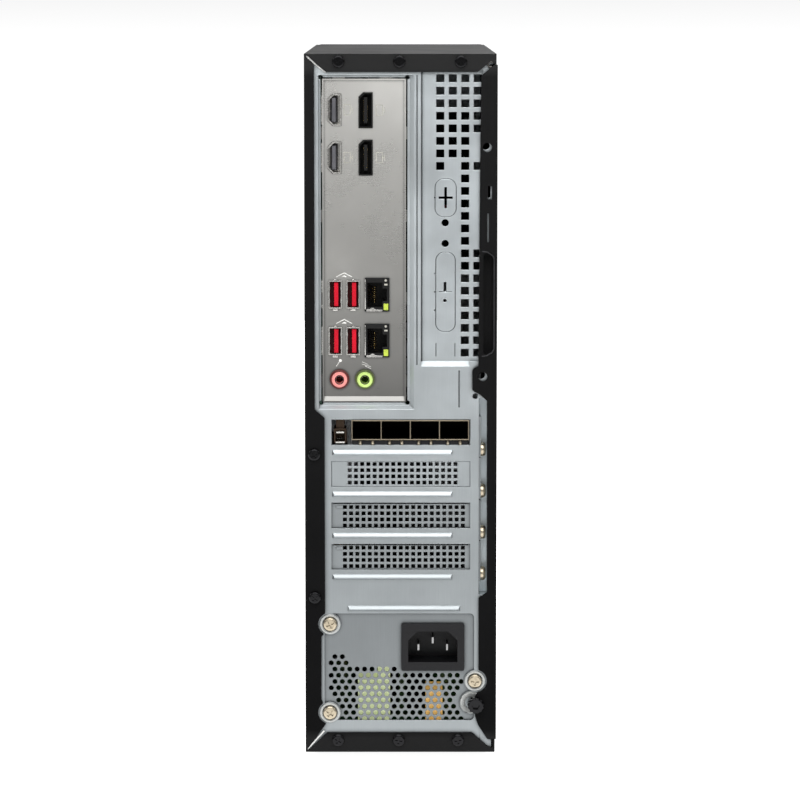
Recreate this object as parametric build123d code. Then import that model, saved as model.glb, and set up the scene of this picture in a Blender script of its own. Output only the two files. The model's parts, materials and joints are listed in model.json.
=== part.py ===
from build123d import *
import os

# Slim desktop computer tower with a four-cage network card in its top expansion slot.
# Units are millimetres. +Z is up, the front bezel faces -Y and the connector side faces +Y.
# The origin is the centre of the footprint, on the plane that the rubber feet stand on.
# The mainboard hangs on the +X wall and the removable cover is the -X wall.

# ---- overall size ----
WIDTH = 93.0
BODY_HEIGHT = 340.0
FOOT_HEIGHT = 3.0
REAR = 146.0
FRONT = -150.5
BEZEL_DEPTH = 22.0
SHEET = 1.0
GAP = 0.4

HALF_WIDTH = WIDTH / 2
BOTTOM = FOOT_HEIGHT
TOP = FOOT_HEIGHT + BODY_HEIGHT
BEZEL_BACK = FRONT + BEZEL_DEPTH

# ---- levels of the rear panel, measured along Y ----
PANEL_FACE = REAR - 1.5
POCKET_DEPTH = 1.8
POCKET_FACE = PANEL_FACE - POCKET_DEPTH
PANEL_BACK = PANEL_FACE - SHEET
COVER_FLANGE_BACK = REAR - SHEET

# ---- casing ----
SHELL_RIGHT = -(HALF_WIDTH - 0.6)
COVER_BOTTOM = BOTTOM + 6.4
COVER_TOP = TOP - 5.4
COVER_LIP = 2.4
TOP_FLANGE_EDGE = 334.3
BOTTOM_FLANGE_EDGE = 12.4
LEFT_FLANGE_EDGE = 41.7

# ---- chassis ----
FLOOR_TOP = BOTTOM + 2 * SHEET
ROOF_BOTTOM = TOP - 2 * SHEET
CHASSIS_LOW_X = -44.0
CHASSIS_HIGH_X = 44.8
TRAY_FACE = CHASSIS_HIGH_X - SHEET
FRONT_WALL_Y = BEZEL_BACK + 3.0

# ---- connector opening, sheet pockets and vents of the rear panel ----
IO_X = (-3.2, 38.6)
IO_Z = (174.5, 331.8)
IO_POCKET_X = (-4.4, 39.7)
IO_POCKET_Z = (173.3, 332.9)
IO_SIDE_SLOPE = 2.0
IO_BOTTOM_SLOPE = 1.9
VENT_POCKET_X = (-39.5, -9.7)
VENT_POCKET_Z = (194.7, 335.2)
VENT_POCKET_SLOPE = 2.3
VENT_RIGHT_STEP_X = -33.2
VENT_PITCH = 6.02
VENT_HOLE = 3.85
VENT_FIRST = (-18.95, 331.3)
VENT_COLUMNS = (range(0, 8), range(0, 7), range(0, 23), [*range(0, 5), 7, *range(14, 23)])

# ---- serial and parallel port knock-outs ----
KNOCKOUT_X = -21.6
SERIAL_CENTRE_Z = 273.9
SERIAL_SIZE = (10.6, 18.8)
PARALLEL_CENTRE_Z = 228.4
PARALLEL_SIZE = (9.8, 38.8)
JACKSCREW_Z = (261.8, 251.8)
JACKSCREW_R = 1.75
SCORE = 0.35
NIB_R = 0.4
CREASE_DEPTH = 0.6
PANEL_CREASES = (((-28.6, -27.9), (172.3, 190.4)), ((-8.1, -7.5), (193.0, 333.0)))
POCKET_CREASE_X = (VENT_POCKET_X[1] - 0.6, VENT_POCKET_X[1])

# ---- expansion slots ----
SLOT_COUNT = 4
SLOT_PITCH = 20.32
SLOT_X = (-33.7, 33.7)
SLOT_TOP = 166.5
SLOT_WINDOW = 12.6
BRACKET_T = 0.9
BRACKET_X = (-37.9, 36.4)
RIB_DROP = 15.2
# Height and reach of the rib's section from its own line on the panel: a long upper slope, a short underside.
RIB_SECTION = ((0.35, 0.0), (0.1, 0.25), (-1.3, 0.95), (-1.8, 0.75), (-2.3, 0.0))
RIB_X = (-25.2, 33.3)
CHANNEL_X = (-42.2, -37.9)
CHANNEL_Z = (80.2, 177.0)
CHANNEL_FLOOR = PANEL_FACE - 10.5
SLOT_SCREW_Y = PANEL_FACE - 5.6
CARD_T = 1.6
CARD_Z = 166.2

# ---- power supply ----
PSU_X = (-40.5, 43.5)
PSU_Z = (7.5, 72.5)
PSU_DEPTH = 175.0
PSU_WALL = 0.9
PSU_OPENING_X = (-35.7, 37.2)
PSU_OPENING_Z = (18.6, 71.3)
PSU_SCREWS = ((34.5, 66.1), (34.6, 22.3), (-36.2, 38.0))
EAR_R = 5.3
NOTCH_R = 5.8
INLET_CENTRE = (-15.6, 54.7)
INLET_FACE = (30.7, 23.3)
INLET_BODY = (27.4, 20.0)
INLET_RECESS = (24.0, 15.2)
INLET_CHAMFER = 4.4
RIDGE_Z = 74.8
PSU_VENT_R = 1.2
PSU_VENT_PITCH = 3.624
PSU_VENT_ROW = 3.08
PSU_VENT_FIRST = (32.2, 49.8)
# First hole and number of holes in each row, from the top row down.
PSU_VENT_ROWS = (
    (0, 2), (0, 3), (0, 9), (0, 18), (0, 18), (0, 18), (0, 17), (1, 16), (1, 16), (2, 16), (1, 17))

# ---- thumbscrew ----
THUMB = (-36.5, 26.6)
THUMB_HEAD_R = 3.9
THUMB_SHANK_R = 1.9
THUMB_PROUD = 4.5
THUMB_CLEARANCE = 0.05
THUMB_FIT = 0.05
DISH = (-34.3, 27.2)
DISH_R = 5.7

# ---- holes in the cover's rear flange, with smaller, offset ones in the panel behind ----
COVER_HOLES = ((-41.6, 298.2), (-39.7, 187.4))
COVER_HOLE_R = 2.2
LOCK_X = (-43.9, -41.9)
LOCK_Z = (273.2, 279.6)
HOLE_OFFSET = 0.8

# ---- mainboard ----
BOARD_FACE = 38.4
BOARD_T = 1.6
BOARD_Y = (-69.5, PANEL_BACK - 3.0)
BOARD_Z = (88.0, 332.0)

# ---- connectors on the mainboard's rear edge: port centres (x, z) ----
HDMI_X = 32.05
HDMI_Z = (316.1, 293.1)
DISPLAYPORT_X = 16.95
DISPLAYPORT_Z = (315.9, 293.1)
USB_X = (31.75, 23.1)
USB_Z = (227.0, 204.4)
LAN_X = 11.5
LAN_Z = (226.9, 204.6)
AUDIO_Z = 185.9
MICROPHONE_X = 29.7
LINE_OUT_X = 17.4
PORT_DEPTH = 18.0
AUDIO_BORE_R = 1.75
AUDIO_BORE_DEPTH = 14.0

# ---- cooling ----
COOLER_CENTRE = (57.0, 262.0)
CPU_FAN_SIZE = 80.0
FRONT_FAN_CENTRE = (0.0, 266.0)
FRONT_FAN_SIZE = 80.0
PSU_FAN_CENTRE = (1.5, 40.0)
PSU_FAN_SIZE = 60.0
FAN_SHAFT_R = 1.5
FAN_FIT = 0.05

# ---- front ----
BUTTON_X = 30.0
BUTTON_Z = 322.0
BUTTON_R = 7.0
PORTS_Z = 296.0


def slab(x, y, z):
    """Box between three (low, high) ranges."""
    size = (x[1] - x[0], y[1] - y[0], z[1] - z[0])
    centre = ((x[0] + x[1]) / 2, (y[0] + y[1]) / 2, (z[0] + z[1]) / 2)
    return Pos(*centre) * Box(*size)


def rod_x(x, y, z, radius):
    """Round bar along X between x[0] and x[1]."""
    return Pos((x[0] + x[1]) / 2, y, z) * Rot(0, 90, 0) * Cylinder(radius, x[1] - x[0])


def rod_y(x, y, z, radius):
    """Round bar along Y between y[0] and y[1]."""
    return Pos(x, (y[0] + y[1]) / 2, z) * Rot(90, 0, 0) * Cylinder(radius, y[1] - y[0])


def bands(part, axis, seams):
    """Part as solids that meet face to face at planes across axis 0 (X), 1 (Y) or 2 (Z)."""
    far = 2 * TOP
    ends = [-far] + sorted(seams) + [far]
    pieces = []
    for low, high in zip(ends, ends[1:]):
        reach = [(-far, far)] * 3
        reach[axis] = (low, high)
        pieces += (part & slab(*reach)).solids()
    return pieces


def rear_sheet(sketch, face, thickness):
    """Extrude a sketch drawn in (x, z) inwards from the plane y = face."""
    return extrude(Plane.XZ.offset(-face) * sketch, amount=thickness, dir=(0, -1, 0))


def area(x, z, corner=0.0):
    """Rectangle in (x, z) from two ranges, with optional round corners."""
    size = (x[1] - x[0], z[1] - z[0])
    shape = RectangleRounded(*size, corner) if corner else Rectangle(*size)
    return Pos((x[0] + x[1]) / 2, (z[0] + z[1]) / 2) * shape


def pocket(x, z, face, depth, slope_z=0.0, slope_x=0.0):
    """Space of a pressed pocket: its floor spans x and z, and its lower and -X walls lean outwards."""
    floor = face - depth
    side = Polygon((floor, z[0]), (face, z[0] - slope_z), (face, z[1]), (floor, z[1]), align=None)
    plan = Polygon((x[0], floor), (x[0] - slope_x, face), (x[1], face), (x[1], floor), align=None)
    along_x = extrude(Plane.YZ.offset(x[0] - slope_x) * side, amount=x[1] - x[0] + slope_x, dir=(1, 0, 0))
    along_z = extrude(Plane.XY.offset(z[0] - slope_z) * plan, amount=z[1] - z[0] + slope_z, dir=(0, 0, 1))
    return along_x & along_z


def cross_recess(width, length, depth):
    """Phillips recess with its mouth on the XY plane, going down."""
    arm = Pos(0, 0, -depth / 2) * Box(length, width, depth)
    return arm + Rot(0, 0, 90) * arm


def pan_screw(head_r, head_h, shank_r, length):
    """Pan head screw standing on the XY plane, with its shank along -Z."""
    head = Cylinder(head_r, head_h, align=(Align.CENTER, Align.CENTER, Align.MIN))
    head = fillet(head.edges().sort_by(Axis.Z)[-1], head_h * 0.55)
    shank = Cylinder(shank_r, length, align=(Align.CENTER, Align.CENTER, Align.MAX))
    recess = Pos(0, 0, head_h) * cross_recess(head_r * 0.27, head_r * 1.15, head_h * 0.6)
    return head + shank - recess


def rear_facing(x, y, z, turn=0.0):
    """Placement that turns a screw's head towards +Y and spins it about its own axis."""
    return Pos(x, y, z) * Rot(-90, 0, 0) * Rot(0, 0, turn)


# ================= casing =================

TOP_SCREWS = ((30.0, 339.4), (0.7, 339.4), (-28.8, 339.4))
BOTTOM_SCREWS = ((30.6, 9.0), (1.0, 9.0), (-27.9, 9.0))
LEFT_SCREWS = ((42.0, 149.5), (41.8, 79.4))
SHELL_SCREWS = TOP_SCREWS + BOTTOM_SCREWS + LEFT_SCREWS
SHELL_SCREW_R = 1.7
SCREW_CLEARANCE = 0.1


def make_outer_shell():
    """Black wrap: top, +X side and bottom panels with mitred flanges round the rear."""
    inside = HALF_WIDTH - SHEET
    run = (BEZEL_BACK, REAR)
    shell = slab((SHELL_RIGHT, HALF_WIDTH), run, (TOP - SHEET, TOP))
    shell += slab((inside, HALF_WIDTH), run, (BOTTOM, TOP))
    shell += slab((SHELL_RIGHT, HALF_WIDTH), run, (BOTTOM, BOTTOM + SHEET))
    rim = (SHELL_RIGHT, SHELL_RIGHT + SHEET)
    shell += slab(rim, run, (COVER_TOP + GAP, TOP))
    shell += slab(rim, run, (BOTTOM, COVER_BOTTOM - GAP))
    flange_t = REAR - PANEL_FACE
    top = Polygon(
        (HALF_WIDTH - 0.9, TOP), (SHELL_RIGHT, TOP), (SHELL_RIGHT, TOP - 5.0), (-43.2, TOP - 3.4),
        (-37.0, TOP_FLANGE_EDGE), (35.9, TOP_FLANGE_EDGE), align=None)
    bottom = Polygon(
        (HALF_WIDTH - 0.9, BOTTOM), (36.1, BOTTOM_FLANGE_EDGE), (-34.8, BOTTOM_FLANGE_EDGE),
        (-42.1, 5.9), (-43.4, BOTTOM + 2.2), (SHELL_RIGHT, BOTTOM + 2.2), (SHELL_RIGHT, BOTTOM), align=None)
    left = Polygon(
        (HALF_WIDTH, TOP - 0.6), (LEFT_FLANGE_EDGE, TOP - 5.0), (LEFT_FLANGE_EDGE, 171.3),
        (37.0, 167.2), (36.9, 62.0), (38.7, 60.0), (38.8, 28.8), (36.6, 24.0), (36.6, 16.9),
        (HALF_WIDTH - 1.9, 5.6), (HALF_WIDTH, BOTTOM + 0.6), align=None)
    for x, z in PSU_SCREWS[:2]:
        left -= Pos(x, z) * Circle(NOTCH_R)
    flanges = [rear_sheet(shape, REAR, flange_t) for shape in (top, bottom, left)]
    for flange in flanges:
        shell += flange
    for x, z in SHELL_SCREWS:
        shell -= rod_y(x, (PANEL_BACK, REAR + 1), z, SHELL_SCREW_R + SCREW_CLEARANCE)
    return shell


def make_shell_screws():
    """Eight black pan head screws that hold the casing's rear flanges."""
    screw = pan_screw(3.0, 1.7, SHELL_SCREW_R, REAR - PANEL_BACK)
    return [rear_facing(x, REAR, z, turn=20 * i) * screw for i, (x, z) in enumerate(SHELL_SCREWS)]


PULL_X = (-44.5, -39.8)
PULL_Z = (198.0, 247.6)
PULL_DEPTH = 8.5
PULL_WALL = 0.8
PULL_CORNER = 2.0


def make_side_cover():
    """Removable -X cover: a side sheet with its stiffening lips."""
    outside = -HALF_WIDTH
    inside = outside + SHEET
    cover = slab((outside, inside), (BEZEL_BACK + GAP, REAR), (COVER_BOTTOM, COVER_TOP))
    lip_run = (BEZEL_BACK + 8, COVER_FLANGE_BACK - 6)
    cover += slab((inside, inside + COVER_LIP), lip_run, (COVER_TOP - SHEET, COVER_TOP))
    return cover + slab((inside, inside + COVER_LIP), lip_run, (COVER_BOTTOM, COVER_BOTTOM + SHEET))


def make_cover_flange():
    """Rear flange of the side cover, made in strips where the finger pull opens through it."""
    inside = SHEET - HALF_WIDTH
    flange = Polygon(
        (inside, COVER_TOP), (-44.7, COVER_TOP), (-38.6, 332.6), (-38.2, 300.0), (-37.5, 192.6),
        (-35.2, 191.4), (-34.6, 190.4), (-34.6, 181.2), (-35.4, 180.2), (-38.3, 178.8), (-41.7, 175.7),
        (-41.9, 82.1), (-37.9, 79.2), (-37.9, 33.0), (-36.2, 30.5), (-36.2, 20.8), (-37.7, 16.4),
        (-42.2, COVER_BOTTOM), (inside, COVER_BOTTOM), align=None)
    flange -= Pos(*PSU_SCREWS[2]) * Circle(NOTCH_R)
    flange -= area(PULL_X, PULL_Z, PULL_CORNER)
    for x, z in COVER_HOLES:
        flange -= Pos(x, z) * Circle(COVER_HOLE_R)
    flange -= area(LOCK_X, LOCK_Z)
    flange -= area((-42.5, -41.6), (252.5, 266.5))
    ear_y = (COVER_FLANGE_BACK, REAR)
    sheet = rear_sheet(flange, REAR, SHEET) + rod_y(THUMB[0], ear_y, THUMB[1], THUMB_HEAD_R - 0.5)
    sheet -= rod_y(THUMB[0], (COVER_FLANGE_BACK - 1, REAR + 1), THUMB[1], THUMB_SHANK_R + THUMB_FIT)
    seams = list(PULL_Z) + [PULL_Z[0] + PULL_CORNER, PULL_Z[1] - PULL_CORNER]
    return bands(sheet, 2, seams)


def make_pull_cup():
    """Finger pull: a cup behind the cover's rear flange."""
    cup_x = (PULL_X[0] - PULL_WALL, PULL_X[1] + PULL_WALL)
    cup_z = (PULL_Z[0] - PULL_WALL, PULL_Z[1] + PULL_WALL)
    cup = rear_sheet(area(cup_x, cup_z, PULL_CORNER + PULL_WALL), COVER_FLANGE_BACK, PULL_DEPTH)
    return cup - rear_sheet(area(PULL_X, PULL_Z, PULL_CORNER), COVER_FLANGE_BACK, PULL_DEPTH - PULL_WALL)


def make_thumbscrew():
    """Captive screw of the side cover: a fluted round head with a hexagon socket."""
    head_h = THUMB_PROUD - THUMB_CLEARANCE
    head = Cylinder(THUMB_HEAD_R, head_h, align=(Align.CENTER, Align.CENTER, Align.MIN))
    head = fillet(head.edges().sort_by(Axis.Z)[-1], 0.8)
    flutes = [Rot(0, 0, 30 * i) * Pos(THUMB_HEAD_R + 0.35, 0, 2.6) * Cylinder(0.75, 4.0) for i in range(12)]
    for flute in flutes:
        head -= flute
    head -= Pos(0, 0, head_h) * extrude(RegularPolygon(2.0, 6), amount=-2.4)
    shank = Cylinder(THUMB_SHANK_R, 9.0, align=(Align.CENTER, Align.CENTER, Align.MAX))
    return rear_facing(THUMB[0], REAR + THUMB_CLEARANCE, THUMB[1]) * (head + shank)


def make_rubber_feet():
    """Four round rubber feet under the bottom panel."""
    pad = Cone(7.0, 8.0, FOOT_HEIGHT, align=(Align.CENTER, Align.CENTER, Align.MIN))
    return [Pos(x, y, 0) * pad for x in (-34, 34) for y in (-112, 104)]


# ================= chassis =================


def slot_top(index):
    return SLOT_TOP - SLOT_PITCH * index


def rib_z(index):
    return slot_top(index) - RIB_DROP


def vent_squares():
    """Square vents beside the connector opening."""
    x0, z0 = VENT_FIRST
    square = Rectangle(VENT_HOLE, VENT_HOLE)
    return [
        Pos(x0 - VENT_PITCH * column, z0 - VENT_PITCH * row) * square
        for column, rows in enumerate(VENT_COLUMNS) for row in rows]


def knockout_cuts():
    """Through slots and scored outlines of the unused serial and parallel port knock-outs."""
    slots = [
        area((KNOCKOUT_X - 0.6, KNOCKOUT_X + 0.6), (268.8, 279.0)),
        area((KNOCKOUT_X - 3.4, KNOCKOUT_X + 3.4), (273.3, 274.5)),
        area((KNOCKOUT_X - 0.4, KNOCKOUT_X + 0.9), (228.7, 233.2)),
        Pos(KNOCKOUT_X + 0.3, 224.2) * Circle(0.8)]
    slots += [Pos(KNOCKOUT_X + 0.2, z) * Circle(JACKSCREW_R) for z in JACKSCREW_Z]
    nib_z = (SERIAL_CENTRE_Z, PARALLEL_CENTRE_Z - 8.9, PARALLEL_CENTRE_Z, PARALLEL_CENTRE_Z + 8.9)
    slots += [Pos(KNOCKOUT_X + 5.2, z) * Circle(NIB_R) for z in nib_z]
    rings = []
    for centre, size in ((SERIAL_CENTRE_Z, SERIAL_SIZE), (PARALLEL_CENTRE_Z, PARALLEL_SIZE)):
        corner = size[0] * 0.42
        ring = RectangleRounded(*size, corner)
        ring -= RectangleRounded(size[0] - 2 * SCORE, size[1] - 2 * SCORE, corner - SCORE)
        rings.append(Pos(KNOCKOUT_X, centre) * ring)
    rings.append(area((KNOCKOUT_X - 3.1, KNOCKOUT_X + 3.1), (228.3, 228.7)))
    for x in (KNOCKOUT_X - 4.6, KNOCKOUT_X + 4.6):
        rings.append(area((x - SCORE / 2, x + SCORE / 2), (197.0, 203.5)))
    return slots, rings


def rib(x, z):
    """Pressed rib along X on the rear panel, with sloping ends."""
    root = PANEL_FACE - 0.5
    reach = 1.0
    section = [(PANEL_FACE + out, z + up) for up, out in RIB_SECTION]
    side = Polygon((root, section[0][1]), *section, (root, section[-1][1]), align=None)
    plan = Polygon(
        (x[0], root), (x[0], PANEL_FACE), (x[0] + reach, PANEL_FACE + reach),
        (x[1] - reach, PANEL_FACE + reach), (x[1], PANEL_FACE), (x[1], root), align=None)
    along_x = extrude(Plane.YZ.offset(x[0]) * side, amount=x[1] - x[0], dir=(1, 0, 0))
    along_z = extrude(Plane.XY.offset(z - 3) * plan, amount=6, dir=(0, 0, 1))
    return along_x & along_z


def make_rear_panel():
    """Zinc-plated rear panel with its pressed pockets, beads, vents and openings."""
    outline = area((-44.2, 45.3), (BOTTOM + 1.2, TOP - 1.2))
    channel = area(CHANNEL_X, CHANNEL_Z)
    pull_room = area((-50.0, PULL_X[1] + PULL_WALL + GAP), (PULL_Z[0] - 1.6, PULL_Z[1] + 1.6))
    lip_x = (-50.0, SHEET - HALF_WIDTH + COVER_LIP + GAP)
    top_lip = area(lip_x, (COVER_TOP - SHEET - GAP, COVER_TOP + GAP))
    bottom_lip = area(lip_x, (COVER_BOTTOM - GAP, COVER_BOTTOM + SHEET + GAP))
    panel = rear_sheet(outline - channel - pull_room - top_lip - bottom_lip, PANEL_FACE, SHEET)

    block_t = POCKET_DEPTH + SHEET
    io_block = area((IO_POCKET_X[0] - IO_SIDE_SLOPE - 1, IO_POCKET_X[1] + 1),
                    (IO_POCKET_Z[0] - IO_BOTTOM_SLOPE - 1, IO_POCKET_Z[1] + 1))
    vent_block = area((VENT_POCKET_X[0] - 1, VENT_POCKET_X[1] + 1),
                      (VENT_POCKET_Z[0] - VENT_POCKET_SLOPE - 1, VENT_POCKET_Z[1] + 1))
    panel += rear_sheet(io_block, PANEL_FACE, block_t)
    panel += rear_sheet(vent_block - pull_room, PANEL_FACE, block_t)
    for i in range(SLOT_COUNT):
        panel += rib(RIB_X, rib_z(i))
    panel += rib((-29.0, 26.0), RIDGE_Z)

    panel -= pocket(IO_POCKET_X, IO_POCKET_Z, PANEL_FACE, POCKET_DEPTH, IO_BOTTOM_SLOPE, IO_SIDE_SLOPE)
    right = (VENT_POCKET_X[0], VENT_RIGHT_STEP_X)
    left = (VENT_RIGHT_STEP_X, VENT_POCKET_X[1])
    panel -= pocket(left, VENT_POCKET_Z, PANEL_FACE, POCKET_DEPTH, VENT_POCKET_SLOPE)
    panel -= pocket(right, VENT_POCKET_Z, PANEL_FACE, POCKET_DEPTH)

    slots, rings = knockout_cuts()
    through = [area(IO_X, IO_Z)] + vent_squares() + slots
    through += [Pos(x, z) * Circle(1.1) for x in IO_X for z in IO_Z]
    through += [area(SLOT_X, (slot_top(i) - SLOT_WINDOW, slot_top(i))) for i in range(SLOT_COUNT)]
    through.append(Pos(-36.1, 177.9) * Circle(1.4))
    through += [Pos(x + HOLE_OFFSET, z + HOLE_OFFSET) * Circle(COVER_HOLE_R - 0.3) for x, z in COVER_HOLES]
    lock_x = (LOCK_X[0] + HOLE_OFFSET, LOCK_X[1] + HOLE_OFFSET)
    through.append(area(lock_x, (LOCK_Z[0] + HOLE_OFFSET, LOCK_Z[1])))
    psu = area(PSU_OPENING_X, PSU_OPENING_Z, 2.0)
    for x, z in PSU_SCREWS:
        psu -= Pos(x, z) * Circle(EAR_R)
    psu -= Pos(*DISH) * Circle(DISH_R)
    through.append(psu)
    through += [Pos(x, z) * Circle(SHELL_SCREW_R + SCREW_CLEARANCE) for x, z in PSU_SCREWS + SHELL_SCREWS]
    through.append(Pos(*THUMB) * Circle(THUMB_SHANK_R + GAP))
    cutter = Sketch() + through
    panel -= rear_sheet(cutter, PANEL_FACE + 2, 2 + block_t)
    panel -= rear_sheet(Sketch() + rings, POCKET_FACE, SCORE)
    for crease in PANEL_CREASES:
        panel -= rear_sheet(area(*crease), PANEL_FACE, CREASE_DEPTH)
    panel -= rear_sheet(area(POCKET_CREASE_X, VENT_POCKET_Z), POCKET_FACE, CREASE_DEPTH)
    return bands(panel, 0, (PULL_X[1] + PULL_WALL + GAP,))


def make_floor():
    return slab((CHASSIS_LOW_X, CHASSIS_HIGH_X), (FRONT_WALL_Y, PANEL_BACK), (BOTTOM + SHEET, FLOOR_TOP))


def make_roof():
    return slab((CHASSIS_LOW_X, CHASSIS_HIGH_X), (FRONT_WALL_Y, PANEL_BACK), (ROOF_BOTTOM, TOP - SHEET))


def board_holes():
    """Centres (y, z) of the mainboard's nine fixing points."""
    return [(y, z) for y in (BOARD_Y[0] + 12, 30.0, BOARD_Y[1] - 12) for z in (96.0, 205.0, 324.0)]


def make_tray():
    """Mainboard tray: the chassis' +X wall with pressed stand-offs."""
    tray = slab((TRAY_FACE, CHASSIS_HIGH_X), (FRONT_WALL_Y, PANEL_BACK), (FLOOR_TOP, ROOF_BOTTOM))
    for y, z in board_holes():
        tray += rod_x((BOARD_FACE + BOARD_T, TRAY_FACE), y, z, 3.2)
    return tray


def make_front_wall():
    """Front wall of the chassis with the fan opening and intake holes."""
    x, z = FRONT_FAN_CENTRE
    wall = area((CHASSIS_LOW_X, TRAY_FACE), (FLOOR_TOP, ROOF_BOTTOM)) - Pos(x, z) * Circle(38.0)
    holes = [Pos(-30 + 10 * i, 30 + 10 * k) * RegularPolygon(3.6, 6) for i in range(7) for k in range(17)]
    wall -= Sketch() + holes
    wall -= area((18.0, 42.0), (BUTTON_Z - 8, BUTTON_Z + 8))
    return rear_sheet(wall, FRONT_WALL_Y + SHEET, SHEET)


def make_slot_retainer():
    """Channel behind the slots' edge: its +X wall is the shelf that the bracket tabs are screwed to."""
    x_low = CHANNEL_X[0] - SHEET
    x_high = CHANNEL_X[1] + SHEET
    shelf_end = PANEL_BACK - BRACKET_T - 0.1
    z_low, z_high = CHANNEL_Z
    channel = slab((x_low, x_high), (CHANNEL_FLOOR - SHEET, CHANNEL_FLOOR), (z_low - SHEET, z_high + SHEET))
    channel += slab((x_low, CHANNEL_X[0]), (CHANNEL_FLOOR, PANEL_BACK), (z_low - SHEET, z_high + SHEET))
    channel += slab((CHANNEL_X[1], x_high), (CHANNEL_FLOOR, shelf_end), (z_low - SHEET, z_high + SHEET))
    for z in (z_low - SHEET, z_high):
        channel += slab((x_low, x_high), (CHANNEL_FLOOR, shelf_end), (z, z + SHEET))
    for i in range(SLOT_COUNT):
        hole = (CHANNEL_X[1] - 1, x_high + 1)
        channel -= rod_x(hole, SLOT_SCREW_Y, rib_z(i), SHELL_SCREW_R + SCREW_CLEARANCE)
    return channel


def make_slot_screws():
    """Four screws through the bracket tabs, with their heads towards -X."""
    screw = Rot(0, -90, 0) * pan_screw(3.4, 2.5, SHELL_SCREW_R, 5.0)
    return [Pos(CHANNEL_X[1] - BRACKET_T, SLOT_SCREW_Y, rib_z(i)) * screw for i in range(SLOT_COUNT)]


def make_psu_screws():
    """Three plated screws that hold the power supply to the rear panel."""
    screw = pan_screw(3.4, 2.0, SHELL_SCREW_R, 6.0)
    return [rear_facing(x, PANEL_FACE, z, turn=25 + 30 * i) * screw for i, (x, z) in enumerate(PSU_SCREWS)]


# ================= connectors =================

PORT_WALL = 0.5
SHIELD_T = 0.5
SHIELD_FACE = POCKET_FACE - 0.1
SHIELD_DEPTH = 0.9
SHIELD_GAP = 0.75
SHIELD_TAB = 6.0
SHIELD_X = (IO_X[0] + SHIELD_GAP, IO_X[1] - SHIELD_GAP)
SHIELD_Z = (IO_Z[0] + GAP, IO_Z[1] - SHIELD_GAP)
SHIELD_BACK = POCKET_FACE - SHEET - SHIELD_T
CAN_FRONT = SHIELD_FACE - 0.4
USB_OUTER = (6.5, 13.6)
HDMI_OUTER = (6.6, 15.2)
DISPLAYPORT_OUTER = (6.6, 17.0)
LAN_OUTER = (11.7, 16.1)


def clipped(size, chamfers):
    """Rectangle in (x, z) with chosen corners cut: chamfers maps (sign x, sign z) to a leg."""
    half_x, half_z = size[0] / 2, size[1] / 2
    corners = ((1, 1), (1, -1), (-1, -1), (-1, 1))
    points = []
    for sx, sz in corners:
        leg = chamfers.get((sx, sz), 0)
        first = (sx * half_x, sz * (half_z - leg))
        second = (sx * (half_x - leg), sz * half_z)
        pair = [first, second] if leg else [first]
        points += pair if sx * sz < 0 else pair[::-1]
    return Polygon(*points, align=None)


def hdmi_outline(margin=0.0):
    size = (HDMI_OUTER[0] + 2 * margin, HDMI_OUTER[1] + 2 * margin)
    return clipped(size, {(1, 1): 2.6, (1, -1): 2.6})


def displayport_outline(margin=0.0):
    size = (DISPLAYPORT_OUTER[0] + 2 * margin, DISPLAYPORT_OUTER[1] + 2 * margin)
    return clipped(size, {(1, 1): 2.2})


# The shield is made in rows, one for each row of ports, and its network rows again in two.
SHIELD_ROWS = (193.1, 215.75, 240.0, 264.0, 304.5)
SHIELD_COLUMN = 18.75


def make_io_shield():
    """Stamped connector shield: a shallow tray with a cut-out for each port."""
    x, z = SHIELD_X, SHIELD_Z
    shield = rear_sheet(area(x, z), SHIELD_FACE, SHIELD_FACE - SHIELD_BACK)
    floor_x = (x[0] + 0.7, x[1] - 0.7)
    floor_z = (z[0] + 2.6, z[1] - 0.7)
    shield -= pocket(floor_x, floor_z, SHIELD_FACE, SHIELD_DEPTH, slope_z=2.2)
    grow = 0.15
    cuts = [Pos(HDMI_X, z_port) * hdmi_outline(grow) for z_port in HDMI_Z]
    cuts += [Pos(DISPLAYPORT_X, z_port) * displayport_outline(grow) for z_port in DISPLAYPORT_Z]
    cuts += [Pos(x_port, z_port) * Rectangle(USB_OUTER[0] + 2 * grow, USB_OUTER[1] + 2 * grow)
             for x_port in USB_X for z_port in USB_Z]
    lan = Rectangle(LAN_OUTER[0] + 2 * grow, LAN_OUTER[1] + 2 * grow)
    cuts += [Pos(LAN_X, z_port) * lan for z_port in LAN_Z]
    cuts += [Pos(x_port, AUDIO_Z) * Circle(3.95) for x_port in (MICROPHONE_X, LINE_OUT_X)]
    shield -= rear_sheet(Sketch() + cuts, SHIELD_FACE + 1, 6.0)
    pieces = []
    for row in bands(shield, 2, SHIELD_ROWS):
        network_row = SHIELD_ROWS[0] < row.center().Z < SHIELD_ROWS[2]
        pieces += bands(row, 0, (SHIELD_COLUMN,)) if network_row else [row]
    return pieces


def make_shield_tabs():
    """Tabs round the shield's edge that hold it behind the panel."""
    tabs = []
    for low in (182.0, 222.0, 262.0, 302.0):
        for x in ((SHIELD_X[0] - 2.2, SHIELD_X[0]), (SHIELD_X[1], SHIELD_X[1] + 1.9)):
            tabs.append(area(x, (low, low + SHIELD_TAB)))
    tabs += [area((low, low + SHIELD_TAB), (SHIELD_Z[1], SHIELD_Z[1] + 2.2)) for low in (4.0, 27.0)]
    tabs.append(area((SHIELD_X[0] + 3.0, SHIELD_X[1] - 3.0), (SHIELD_Z[0] - 1.6, SHIELD_Z[0])))
    return [rear_sheet(tab, SHIELD_BACK + SHIELD_T, SHIELD_T) for tab in tabs]


def port_can(outline, cavity, x, z, depth):
    """Metal port shell: an outline with a cavity that stops short of its back."""
    can = rear_sheet(Pos(x, z) * outline, CAN_FRONT, PORT_DEPTH)
    return can - rear_sheet(Pos(x, z) * cavity, CAN_FRONT, depth)


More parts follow.
